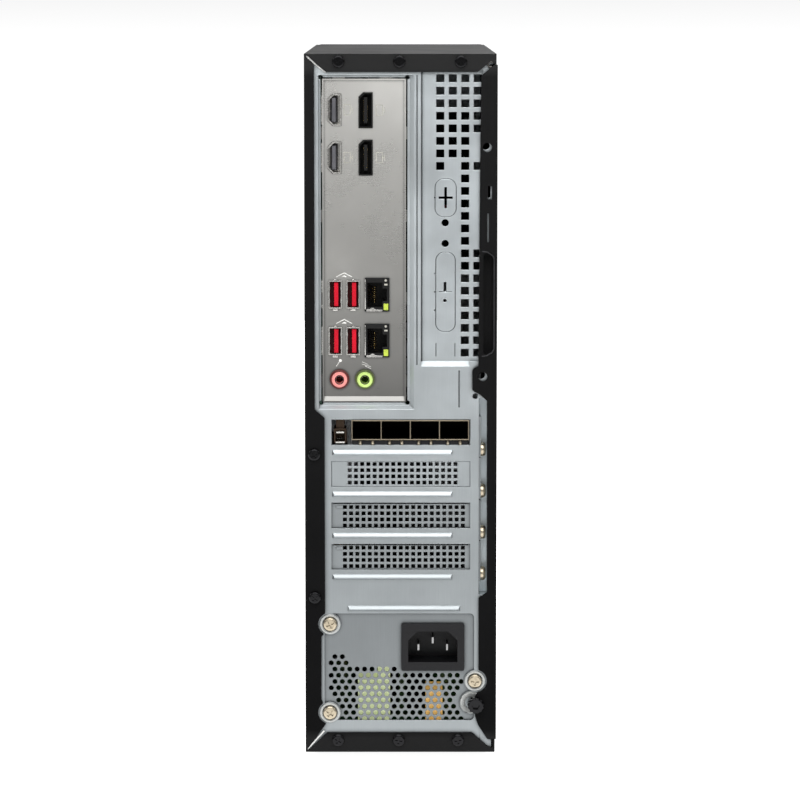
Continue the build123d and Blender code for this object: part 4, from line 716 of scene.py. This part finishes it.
def piece(name, bm, finish, body="chassis", sharp=35.0):
    """Finishes a mesh as a visible piece that rides on a body."""
    bmesh.ops.recalc_face_normals(bm, faces=bm.faces[:])
    mesh = bpy.data.meshes.new(name)
    bm.to_mesh(mesh)
    bm.free()
    mesh.materials.append(finish.material)
    mesh.shade_smooth()
    mesh.set_sharp_from_angle(angle=math.radians(sharp))
    made = bpy.data.objects.new(name, mesh)
    bpy.context.scene.collection.objects.link(made)
    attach(made, body)
    return made


def make_floor():
    """White studio floor with a rolled rim, far outside the picture."""
    bm = bmesh.new()
    add_turned(bm, ((0, 0.0), (2200, 0.0), (2300, -4.0), (2320, -20.0), (0, -40.0)), (0, 0, 0), "+z", 96)
    mesh = bpy.data.meshes.new("floor")
    bmesh.ops.recalc_face_normals(bm, faces=bm.faces[:])
    bm.to_mesh(mesh)
    bm.free()
    mesh.materials.append(floor_finish().material)
    floor = bpy.data.objects.new("floor", mesh)
    bpy.context.scene.collection.objects.link(floor)


# ================= connector side =================

HDMI_X, HDMI_Z = 32.05, (316.1, 293.1)
DISPLAYPORT_X, DISPLAYPORT_Z = 16.95, (315.9, 293.1)
USB_X, USB_Z = (31.75, 23.1), (227.0, 204.4)
LAN_X, LAN_Z = 11.5, (226.9, 204.6)
AUDIO_X, AUDIO_Z = (29.7, 17.4), 185.9
CAN_FRONT = box_mm("usb_shells")[1][1]
PORT_BACK = CAN_FRONT - 12.0
SHIELD_FLOOR = box_mm("io_shield")[1][1] - 0.9
PANEL_FACE = 144.5
REAR = 146.0


def make_usb_contacts():
    """Four sprung contacts under each red tongue, and the shell's spring tabs."""
    contacts, springs, lips = bmesh.new(), bmesh.new(), bmesh.new()
    for x in USB_X:
        for z in USB_Z:
            for i in range(4):
                at = z - 3.75 + 2.5 * i
                add_tube(contacts, [(x + 0.6, CAN_FRONT - 7.0, at), (x + 0.75, CAN_FRONT - 3.0, at),
                                    (x + 0.62, CAN_FRONT - 1.6, at), (x + 0.3, CAN_FRONT - 1.1, at)], 0.22, 6)
            for side in (-1, 1):
                for at in (z - 3.2, z + 3.2):
                    wall = x + side * 2.72
                    outline = [(CAN_FRONT - 1.0, at - 0.9), (CAN_FRONT - 1.0, at + 0.9), (CAN_FRONT - 6.0, at + 1.2),
                               (CAN_FRONT - 6.0, at - 1.2)]
                    add_prism(springs, outline, wall - 0.12, wall + 0.12, "x")
            add_block(lips, (x - 1.3, x + 1.3), (SHIELD_FLOOR, CAN_FRONT + 0.1), (z - 7.9, z - 7.0), 0.12)
            add_block(lips, (x - 0.6, x + 0.6), (SHIELD_FLOOR, CAN_FRONT), (z + 7.0, z + 7.4), 0.1)
    piece("usb_contacts", contacts, GOLD)
    piece("usb_spring_tabs", springs, FINISHES["connector_metal"])
    piece("usb_ground_lips", lips, FINISHES["connector_metal"])


def make_video_contacts():
    """Rows of fine contacts on the tongues, and a slate back block and tongue tip in each HDMI socket."""
    contacts = bmesh.new()
    rows = [(HDMI_X + 0.2, z, 10, 0.95) for z in HDMI_Z] + [(DISPLAYPORT_X, z, 10, 1.05) for z in DISPLAYPORT_Z]
    for x, z, count, pitch in rows:
        for i in range(count):
            at = z + pitch * (i - (count - 1) / 2)
            for side in (-1, 1):
                blade = (x + side * 0.8 - 0.06, x + side * 0.8 + 0.06)
                add_block(contacts, blade, (CAN_FRONT - 7.5, CAN_FRONT - 1.4),
                          (at - 0.2, at + 0.2), 0.03)
    piece("video_contacts", contacts, GOLD)
    tongues = bmesh.new()
    for z in HDMI_Z:
        add_block(tongues, (HDMI_X - 1.5, HDMI_X + 2.1), (PORT_BACK, PORT_BACK + 5.0), (z - 6.4, z + 6.4), 0.2)
        tip = (CAN_FRONT - 1.9, CAN_FRONT - 0.9)
        add_block(tongues, (HDMI_X - 0.75, HDMI_X + 1.15), tip, (z - 5.75, z + 5.75), 0.25)
    piece("hdmi_tongue_tips", tongues, SLATE)


def make_lan_details():
    """Eight wires in each network jack, its plated shield lips and the white marks of its corner."""
    wires, lips, marks = bmesh.new(), bmesh.new(), bmesh.new()
    mouth = box_mm("lan_jacks")[1][1]
    for z in LAN_Z:
        for i in range(8):
            at = z + 1.02 * (i - 3.5)
            add_tube(wires, [(LAN_X + 4.6, mouth - 11.5, at), (LAN_X + 2.6, mouth - 8.0, at),
                             (LAN_X + 0.4, mouth - 3.0, at), (LAN_X + 1.4, mouth - 1.8, at)], 0.23, 6)
        strip = [(LAN_X + 5.2, z - 8.0), (LAN_X - 2.6, z - 8.0), (LAN_X - 2.6, z - 7.2), (LAN_X + 0.6, z - 7.1),
                 (LAN_X + 2.1, z - 6.1), (LAN_X + 3.4, z - 6.9), (LAN_X + 5.2, z - 7.1)]
        add_prism(lips, strip, mouth - 0.6, mouth + 0.1)
        add_block(lips, (LAN_X + 5.5, LAN_X + 5.95), (mouth - 3.0, mouth + 0.1), (z - 7.0, z + 7.4), 0.12)
        dot = ((0, 0.12), (0.55, 0.1), (0.6, -0.1), (0, -0.1))
        add_turned(marks, dot, (LAN_X - 4.2, mouth, z + 7.0), "+y", 16)
        add_block(marks, (LAN_X - 5.1, LAN_X - 3.5), (mouth - 0.1, mouth + 0.1), (z + 4.6, z + 5.4), 0.1)
    piece("lan_wires", wires, GOLD)
    piece("lan_shield_lips", lips, FINISHES["connector_metal"])
    piece("lan_light_marks", marks, GREY_INK)


def make_audio_details():
    """Dark sleeve inside each audio jack, and a dark ring in the jack's own colour round its nose: painted shade in
    the shield's hole.
    """
    sleeves = bmesh.new()
    nose = box_mm("microphone_jack")[1][1]
    for x in AUDIO_X:
        ring = ((1.78, -9.0), (2.3, -9.0), (2.3, 0.02), (2.15, 0.12), (1.78, 0.0))
        add_turned(sleeves, ring, (x, nose, AUDIO_Z), "+y", 40)
    piece("audio_sleeves", sleeves, SLEEVE_DARK)
    # Painted shade: rings of darkened jack colour round the noses.
    for name, x, finish, slot in (("microphone_shade_ring", AUDIO_X[0], SHADED_PINK, "audio_pink"),
                                  ("line_out_shade_ring", AUDIO_X[1], SHADED_LIME, "audio_lime")):
        collar = bmesh.new()
        ring = ((3.8, 0.0), (4.75, 0.0), (4.75, 1.2), (4.5, 1.5), (3.95, 1.7), (3.8, 1.6))
        add_turned(collar, ring, (x, SHIELD_FLOOR, AUDIO_Z), "+y", 48)
        piece(name, collar, finish)


def make_port_icons():
    """Plain printed marks: a roof over each USB pair, a sign over each audio jack, a screen by each video port."""
    ink = bmesh.new()
    low, high = SHIELD_FLOOR - 0.02, SHIELD_FLOOR + 0.05
    x = middle(USB_X)
    for z in USB_Z:
        top = z + 9.8
        roof = [(x, top + 0.9), (x - 3.9, top - 1.1), (x - 3.9, top - 1.45), (x, top + 0.5), (x + 3.9, top - 1.45),
                (x + 3.9, top - 1.1)]
        add_prism(ink, roof, low, high)
        tail = [(x, top - 0.4), (x - 1.3, top - 1.1), (x - 0.6, top - 1.4), (x, top - 1.1), (x + 1.3, top - 1.4)]
        add_prism(ink, tail, low, high)
    x, z = AUDIO_X[0] - 0.4, AUDIO_Z + 8.0
    add_turned(ink, ((0, 0.07), (0.7, 0.07), (0.7, 0.0), (0, 0.0)), (x, low, z + 1.0), "+y", 20)
    add_prism(ink, [(x + 0.5, z + 0.6), (x + 0.3, z + 0.4), (x + 1.9, z - 1.9), (x + 2.1, z - 1.7)], low, high)
    x = AUDIO_X[1] - 0.8
    z -= 1.4
    for dx, dz, reach in ((0.0, 0.0, 2.2), (0.7, 1.1, 1.5), (-0.8, -1.0, 1.4)):
        wave = [(-reach, -0.7), (reach, 0.6), (reach, 0.8), (-reach, -0.5)]
        add_prism(ink, [(x + dx + a, z + dz + b) for a, b in wave], low, high)
    piece("port_icons", ink, WHITE_INK)
    screens = bmesh.new()
    for x, z in [(HDMI_X - 6.2, z) for z in HDMI_Z] + [(DISPLAYPORT_X - 6.6, z) for z in DISPLAYPORT_Z]:
        for side in (-1, 1):
            bar = (x + side * 1.5 - 0.15, x + side * 1.5 + 0.15)
            add_block(screens, bar, (low, high), (z - 2.6, z + 2.6))
            add_block(screens, (x - 1.35, x + 1.35), (low, high), (z + side * 2.45 - 0.15, z + side * 2.45 + 0.15))
        add_block(screens, (x - 2.4, x - 1.65), (low, high), (z - 0.2, z + 0.2))
        add_block(screens, (x - 2.7, x - 2.4), (low, high), (z - 1.4, z + 1.4))
    piece("screen_icons", screens, GREY_INK)


def make_card_details():
    """Spring fingers and gasket of the transceiver cages, and the contacts of the service port."""
    cage_x, cage_y, cage_z = box_mm("network_card_cage")
    service_x, service_y, service_z = box_mm("network_card_service_port")
    gasket, fingers, contacts = bmesh.new(), bmesh.new(), bmesh.new()
    top = cage_z[0]
    across, level = (cage_x[0] + 0.3, cage_x[1] - 0.3), (PANEL_FACE - 2.4, PANEL_FACE - 0.9)
    add_block(gasket, across, level, (top - 2.4, top - 0.1), 0.3)
    cells = 4
    pitch = (cage_x[1] - cage_x[0] - 0.45) / cells
    for i in range(cells):
        centre = cage_x[0] + 0.45 / 2 + pitch * (i + 0.5)
        for side in (-1, 1):
            x = centre + side * 3.0
            add_tube(fingers, [(x, PANEL_FACE - 2.0, top - 0.1), (x, PANEL_FACE - 0.6, top - 0.7),
                               (x, PANEL_FACE + 0.1, top - 1.7), (x, PANEL_FACE - 0.7, top - 2.4)], 0.7, 8)
    add_block(contacts, (service_x[0] + 1.0, service_x[1] - 1.0), (service_y[1] - 1.4, service_y[1] - 0.2),
              (service_z[0] + 4.6, service_z[0] + 5.3), 0.15)
    add_block(contacts, (service_x[0] + 0.7, service_x[1] - 0.7), (service_y[1] - 1.4, service_y[1] + 0.1),
              (service_z[0] - 0.2, service_z[0] + 0.5), 0.15)
    for i in range(4):
        x = service_x[0] + 1.6 + 0.95 * i
        add_tube(contacts, [(x, service_y[1] - 9.0, service_z[0] + 1.9), (x, service_y[1] - 2.5, service_z[0] + 2.3),
                            (x, service_y[1] - 1.4, service_z[0] + 1.7)], 0.16, 6)
    piece("cage_gasket", gasket, CHIP)
    piece("cage_spring_fingers", fingers, FINISHES["plated_screw"])
    piece("service_port_contacts", contacts, FINISHES["connector_metal"])


PSU_SCREWS = ((34.5, 66.1), (34.6, 22.3), (-36.2, 38.0))
DISH = (-34.3, 27.2)


def make_panel_pressings():
    """Pressed rings round the power supply's screws, and the bright dish beside the thumbscrew."""
    rings = bmesh.new()
    for x, z in PSU_SCREWS:
        ring = ((3.6, -0.1), (3.7, 0.25), (4.3, 0.42), (4.9, 0.3), (5.1, -0.1))
        add_turned(rings, ring, (x, PANEL_FACE, z), "+y", 48)
    dish = ((2.6, -0.1), (3.3, 0.15), (5.2, 0.5), (5.65, -0.1))
    add_turned(rings, dish, (DISH[0], PANEL_FACE, DISH[1]), "+y", 48)
    piece("panel_pressings", rings, RING_STEEL)


def make_mitre_highlights():
    """Bright strips along the cut edges in the mitres of the wrap's rear flanges: bare steel, brightened as painted
    highlights.
    """
    edges = bmesh.new()
    for outline in (
            [(45.6, 342.75), (46.2, 342.3), (41.5, 338.0), (36.3, 333.9), (36.0, 334.35), (40.8, 338.2)],
            [(45.7, 3.6), (46.1, 4.1), (37.7, 13.6), (37.1, 13.2)]):
        add_prism(edges, outline, PANEL_FACE + 0.1, PANEL_FACE + 0.7)
    piece("mitre_highlights", edges, MITRE_HIGHLIGHT_STEEL)


def make_corner_hook():
    """Small dark hook that shows in the mitre between the top flange and the cover."""
    hook = bmesh.new()
    centre = (-43.0, 338.0)
    line = [(a, REAR - 0.6, b) for a, b in arc(centre, 1.25, -120, 150, 14)]
    add_tube(hook, line, 0.5, 10)
    piece("corner_hook", hook, DARK_METAL)


def make_pull_rim():
    """Raised rim round the cover's finger pull."""
    rim = bmesh.new()
    pull = next(o for o in frame["record"]["physics"]["openings"] if o["name"] == "finger_pull")
    (low_x, _, low_z), (high_x, _, high_z) = [[v / MM for v in corner] for corner in pull["box_m"]]
    line = [(high_x + 0.7, high_z + 1.6), (low_x + 2.6, high_z + 1.2)]
    line += arc((low_x + 2.6, high_z - 2.6), 3.2, 110, 180, 6)
    line += arc((low_x + 2.6, low_z + 2.6), 3.2, 180, 250, 6)
    line += [(low_x + 2.6, low_z - 1.2), (high_x + 0.7, low_z - 1.6)]
    add_tube(rim, [(x, REAR, z) for x, z in line], 0.3, 10)
    piece("finger_pull_rim", rim, FINISHES["button_black"], "side_cover")


# ================= front =================

FRONT_USB_X = (-24.0, -8.0)
FRONT_AUDIO_X = 9.0
FRONT_PORTS_Z = 296.0
BUTTON = (30.0, 322.0)


def make_dust_filter():
    """Pleated dark filter with its frame, behind the intake slots of the bezel."""
    pleats = bmesh.new()
    face = box_mm("front_bezel")[1][0] + 3.2
    count = 78
    pitch = 2.5
    front = [(face + (0.0 if i % 2 else 1.1), 34.0 + pitch * i) for i in range(count)]
    back = [(y + 0.5, z) for y, z in reversed(front)]
    add_prism(pleats, front + back, -36.0, 36.0, "x")
    for x in (-38.0, 36.0):
        add_block(pleats, (x, x + 2.0), (face, face + 1.9), (32.0, 229.0), 0.4)
    for z in (32.0, 227.2):
        add_block(pleats, (-36.0, 36.0), (face, face + 1.9), (z, z + 1.6), 0.4)
    piece("dust_filter", pleats, FILTER)


def make_front_details():
    """Contacts of the front USB sockets, the audio jack's ring, and the status ring round the button."""
    contacts, collar = bmesh.new(), bmesh.new()
    face = box_mm("front_bezel")[1][0]
    tongue = FRONT_PORTS_Z - 0.2
    for x in FRONT_USB_X:
        for i in range(4):
            at = x - 3.75 + 2.5 * i
            line = [(at, face + 8.0, tongue - 0.1), (at, face + 3.4, tongue - 0.25), (at, face + 2.2, tongue - 0.05)]
            add_tube(contacts, line, 0.35, 8)
    piece("front_usb_contacts", contacts, GOLD)
    ring = ((1.78, 0.3), (1.78, 2.5), (2.6, 2.5), (2.6, 0.35), (2.3, 0.2), (1.95, 0.2))
    add_turned(collar, ring, (FRONT_AUDIO_X, face + 0.3, FRONT_PORTS_Z), "+y", 40)
    piece("front_audio_ring", collar, FINISHES["connector_metal"])
    glow = bmesh.new()
    ring = ((7.04, 0.9), (7.04, 2.6), (7.36, 2.6), (7.36, 0.7), (7.2, 0.6))
    add_turned(glow, ring, (BUTTON[0], face, BUTTON[1]), "+y", 64)
    piece("status_ring", glow, STATUS)


def make_power_icon():
    """Plain on-off sign on the power button."""
    icon = bmesh.new()
    face = box_mm("power_button")[1][0]
    line = [(BUTTON[0] + a, face, BUTTON[1] + b) for a, b in arc((0, 0), 2.5, 125, 415, 24)]
    add_tube(icon, line, 0.24, 8)
    add_tube(icon, [(BUTTON[0], face, BUTTON[1] + h) for h in (0.6, 2.0, 3.3)], 0.24, 8)
    piece("power_icon", icon, WHITE_INK, "power_button")


# ================= inside =================

BOARD = box_mm("mainboard")
BOARD_FACE = BOARD[0][0]


def make_board_screws():
    """Nine screws that hold the mainboard, and six that hold the drive."""
    screws = bmesh.new()
    for y in (BOARD[1][0] + 12, 30.0, BOARD[1][1] - 12):
        for z in (96.0, 205.0, 324.0):
            add_screw(screws, (BOARD_FACE, y, z), "-x", 3.0, 1.7)
    drive = box_mm("hard_drive")
    for y in (drive[1][0] + 3.4, drive[1][1] - 3.4):
        for z in (drive[2][0] + 4.5, middle(drive[2]), drive[2][1] - 4.5):
            add_screw(screws, (drive[0][0] + 0.05, y, z), "-x", 2.1, 0.5)
    piece("board_screws", screws, FINISHES["connector_metal"])


def make_capacitors():
    """Round capacitors: dark sleeves with bright scored tops."""
    sleeves, tops = bmesh.new(), bmesh.new()
    spots = [(114.5, 236.0 + 9.5 * i, 3.1, 9.5) for i in range(8)]
    spots += [(24.0 + 10.5 * i, 318.5, 3.1, 9.5) for i in range(7)]
    spots += [(104.0 + 7.5 * i, 176.0 + 6.5 * k, 2.5, 7.0) for i in range(3) for k in range(2)]
    spots += [(-60.0, z, 4.0, 12.0) for z in (160.0, 171.0, 268.0, 279.0)]
    spots += [(-4.0 + 9.0 * i, 208.0, 2.5, 7.0) for i in range(5)]
    for y, z, radius, height in spots:
        body = ((0, 0.1), (radius, 0.1), (radius, height * 0.12), (radius * 0.93, height * 0.16),
                (radius, height * 0.2), (radius, height - 0.5), (radius * 0.9, height), (0, height))
        add_turned(sleeves, body, (BOARD_FACE, y, z), "-x", 24)
        cap = ((0, height - 0.1), (radius * 0.84, height - 0.1), (radius * 0.8, height + 0.12), (0, height + 0.05))
        add_turned(tops, cap, (BOARD_FACE, y, z), "-x", 24)
        level = (BOARD_FACE - height - 0.16, BOARD_FACE - height)
        for a, b in ((radius * 0.7, 0.12), (0.12, radius * 0.7)):
            add_block(tops, level, (y - a, y + a), (z - b, z + b))
    piece("capacitor_sleeves", sleeves, SLEEVE_DARK)
    piece("capacitor_tops", tops, FINISHES["fin_aluminium"])


def make_chokes():
    """Square ferrite chokes with plated ends, beside and above the processor."""
    bodies, ends = bmesh.new(), bmesh.new()
    spots = [(102.5, 234.0 + 10.8 * i) for i in range(7)] + [(24.0 + 10.8 * i, 307.5) for i in range(6)]
    for y, z in spots:
        add_block(bodies, (BOARD_FACE - 7.5, BOARD_FACE - 0.3), (y - 4.4, y + 4.4), (z - 4.4, z + 4.4), 0.7)
        add_block(ends, (BOARD_FACE - 3.0, BOARD_FACE), (y - 4.6, y + 4.6), (z - 1.6, z + 1.6), 0.2)
    piece("choke_bodies", bodies, FERRITE)
    piece("choke_ends", ends, FINISHES["connector_metal"])


def make_board_chips():
    """Flat chips with rows of legs on the mainboard, and packages on the network card's upper face."""
    bodies, legs = bmesh.new(), bmesh.new()
    chips = ((-42.0, 166.0, 6.5), (110.0, 226.0, 4.0), (110.0, 205.0, 4.0), (16.0, 102.0, 4.5), (-20.0, 96.0, 3.5),
             (112.0, 192.5, 3.5), (-54.0, 226.0, 4.0), (58.0, 188.0, 3.5), (78.0, 188.0, 3.5))
    for y, z, half in chips:
        add_block(bodies, (BOARD_FACE - 1.3, BOARD_FACE - 0.15), (y - half, y + half), (z - half, z + half), 0.25)
        count = int(half * 1.6)
        for i in range(count):
            at = (i - (count - 1) / 2) * 1.15
            for side in (-1, 1):
                foot = sorted((side * (half - 0.2), side * (half + 0.9)))
                level = (BOARD_FACE - 0.45, BOARD_FACE)
                add_block(legs, level, (y + foot[0], y + foot[1]), (z + at - 0.25, z + at + 0.25))
                add_block(legs, level, (y + at - 0.25, y + at + 0.25), (z + foot[0], z + foot[1]))
    card_top = box_mm("network_card_board")[2][1]
    for x, y, half_x, half_y in ((-20.0, 70.0, 5.0, 5.0), (-5.0, 70.0, 5.0, 5.0), (10.0, 62.0, 7.0, 7.0),
                                 (-18.0, 30.0, 3.0, 4.0), (4.0, 20.0, 3.0, 4.0), (16.0, 14.0, 4.0, 3.0)):
        add_block(bodies, (x - half_x, x + half_x), (y - half_y, y + half_y), (card_top, card_top + 1.1), 0.2)
        for side in (-1, 1):
            edge = sorted((x + side * (half_x - 0.2), x + side * (half_x + 0.8)))
            for i in range(5):
                at = y + (i - 2) * half_y * 0.35
                add_block(legs, edge, (at - 0.3, at + 0.3), (card_top, card_top + 0.3))
    piece("board_chips", bodies, CHIP)
    piece("board_chip_legs", legs, FINISHES["connector_metal"])


def make_headers():
    """Pin headers along the mainboard's lower edge, and drive sockets."""
    shrouds, pins = bmesh.new(), bmesh.new()
    for y in (-38.0, -16.0, 8.0, 46.0, 66.0, 86.0):
        z = 91.6
        add_block(shrouds, (BOARD_FACE - 2.5, BOARD_FACE), (y - 6.4, y + 6.4), (z - 2.5, z + 2.5), 0.2)
        for i in range(5):
            for k in (-1, 1):
                at = (y - 5.1 + 2.54 * i, z + 1.27 * k)
                add_block(pins, (BOARD_FACE - 8.5, BOARD_FACE - 2.4), (at[0] - 0.32, at[0] + 0.32),
                          (at[1] - 0.32, at[1] + 0.32), 0.08)
    for z in (100.0, 118.0, 136.0):
        y = -64.5
        walls = [(-3.2, -8.0), (3.2, -8.0), (3.2, 8.0), (-3.2, 8.0)]
        walls += [(-3.2, 7.0), (2.2, 7.0), (2.2, -7.0), (-3.2, -7.0)]
        add_prism(shrouds, [(y + a, z + b) for a, b in walls], BOARD_FACE - 9.0, BOARD_FACE, "x")
        add_block(shrouds, (BOARD_FACE - 7.5, BOARD_FACE), (y - 1.0, y + 0.2), (z - 5.5, z + 5.5), 0.15)
        add_block(shrouds, (BOARD_FACE - 2.0, BOARD_FACE), (y - 3.1, y + 2.1), (z - 6.9, z + 6.9), 0.1)
    piece("header_shrouds", shrouds, CHIP)
    piece("header_pins", pins, GOLD)


def make_memory_latches():
    """Hooked latches at both ends of each memory socket."""
    latches = bmesh.new()
    x, _, z = box_mm("memory_sockets")
    for y in (-14.0, -23.5, -33.0, -42.5):
        for end, way in ((z[0], 1), (z[1], -1)):
            hook = ((3.5, 0.0), (-1.6, 0.0), (-2.6, 1.2), (-2.2, 2.9), (0.2, 3.3), (3.5, 2.4))
            add_prism(latches, [(x[0] + a, end + way * b) for a, b in hook], y - 2.3, y + 2.3)
    piece("memory_latches", latches, NYLON)


def make_fan_details():
    """Stickers on the processor fan's hub and the front fan's plate, and the processor fan's lead."""
    sticker, ink = bmesh.new(), bmesh.new()
    rotor = box_mm("cpu_fan_rotor")
    y, z = 57.0, 262.0
    disc = ((0, 0.12), (12.2, 0.12), (12.5, 0.06), (12.5, -0.04), (0, -0.04))
    add_turned(sticker, disc, (rotor[0][0], y, z), "-x", 48)
    piece("cpu_fan_sticker", sticker, LABEL, "cpu_fan_rotor")
    for radius in (11.0, 4.0):
        ring = ((radius, 0.1), (radius + 0.5, 0.1), (radius + 0.5, 0.17), (radius, 0.17))
        add_turned(ink, ring, (rotor[0][0], y, z), "-x", 48)
    level = (rotor[0][0] - 0.17, rotor[0][0] - 0.1)
    add_bars(ink, (z + 4.6, z + 9.4), (y - 5.0, y + 5.0), level, (1.0, 0.7))
    piece("cpu_fan_sticker_ink", ink, DARK_INK, "cpu_fan_rotor")
    plate = bmesh.new()
    back = box_mm("front_fan_frame")[1][1]
    add_turned(plate, disc, (0.0, back, 266.0), "+y", 48)
    piece("front_fan_sticker", plate, LABEL)
    lead, plug = bmesh.new(), bmesh.new()
    for i in range(4):
        shift = 0.75 * (i - 1.5)
        line = [(5.0, 97.2 + shift, 297.0), (7.0, 100.5 + shift, 304.0), (16.0, 101.5 + shift, 315.0),
                (27.0, 101.0 + shift, 318.0), (BOARD_FACE - 9.0, 101.0 + shift, 318.0)]
        add_tube(lead, curve_through(line, 6), 0.45, 8)
    add_block(plug, (BOARD_FACE - 9.0, BOARD_FACE), (98.0, 104.0), (315.8, 320.2), 0.3)
    piece("cpu_fan_lead", lead, LEAD)
    piece("cpu_fan_plug", plug, NYLON)


def make_labels():
    """Plain labels with printed bars on the drive and on the power supply's case."""
    paper, ink = bmesh.new(), bmesh.new()
    for node, y, z, inset, shares in (
            ("hard_drive", (-108.0, -36.0), (104.0, 200.0), 0.8, (0.9, 0.5, 0.8, 0.35, 0.7, 0.6, 0.9, 0.4)),
            ("psu_case", (16.0, 112.0), (17.0, 63.0), 0.0, (0.8, 0.8, 0.45, 0.9, 0.6, 0.75))):
        x = box_mm(node)[0][0] + inset
        add_block(paper, (x - 0.12, x + 0.02), y, z, 0.04)
        half = middle(y)
        add_bars(ink, (z[0] + 4, z[1] - 4), (half + 4, y[1] - 6), (x - 0.17, x - 0.1), shares * 2)
        add_bars(ink, (z[0] + 4, middle(z)), (y[0] + 6, half - 4), (x - 0.17, x - 0.1), shares)
        add_bars(ink, (middle(z) + 4, z[1] - 4), (y[0] + 6, half - 4), (x - 0.17, x - 0.1), (1.0,) * 2)
    piece("label_sheets", paper, LABEL)
    piece("label_bars", ink, DARK_INK)


def make_cables():
    """Ties round the main cable, its wires where they fan out to the plug, and the drive cable's plugs."""
    ties, wires, plugs = bmesh.new(), bmesh.new(), bmesh.new()
    x, y = 6.0, -60.0
    for z in (92.0, 128.0, 166.0):
        band = ((4.02, -1.1), (4.7, -1.1), (4.75, 0.0), (4.7, 1.1), (4.02, 1.1))
        add_turned(ties, band, (x, y, z), "+z", 32)
        add_block(ties, (x - 6.6, x - 4.2), (y - 1.6, y + 1.6), (z - 1.7, z + 1.7), 0.4)
    plug = box_mm("power_connector")
    for k in range(2):
        for i in range(12):
            at = plug[2][0] + 2.4 + 4.3 * i
            side = 2 * k - 1
            line = [(x + 5.0, y + 1.0 * side, 212.0 + 0.25 * (i - 5.5)),
                    (x + 8.0, y + 1.4 * side, 212.0 + 0.5 * (at - 212.0)),
                    (plug[0][0] - 1.5, y + 2.0 * side, at), (plug[0][0] + 0.5, y + 2.0 * side, at)]
            add_tube(wires, curve_through(line, 5), 0.85, 8)
    add_block(plugs, (BOARD_FACE - 8.0, BOARD_FACE), (-68.5, -59.5), (243.0, 257.0), 0.6)
    top = box_mm("drive_cage")[2][1]
    add_block(plugs, (-35.5, -22.5), (-72.0, -56.0), (top, top + 7.5), 0.7)
    piece("cable_ties", ties, NYLON)
    piece("power_wires", wires, LEAD)
    piece("drive_cable_plugs", plugs, CHIP)


# ================= build =================

make_camera()
make_studio()
make_floor()
coat_nodes()
make_usb_contacts()
make_video_contacts()
make_lan_details()
make_audio_details()
make_port_icons()
make_card_details()
make_panel_pressings()
make_mitre_highlights()
make_corner_hook()
make_pull_rim()
make_dust_filter()
make_front_details()
make_power_icon()
make_board_screws()
make_capacitors()
make_chokes()
make_board_chips()
make_headers()
make_memory_latches()
make_fan_details()
make_labels()
make_cables()
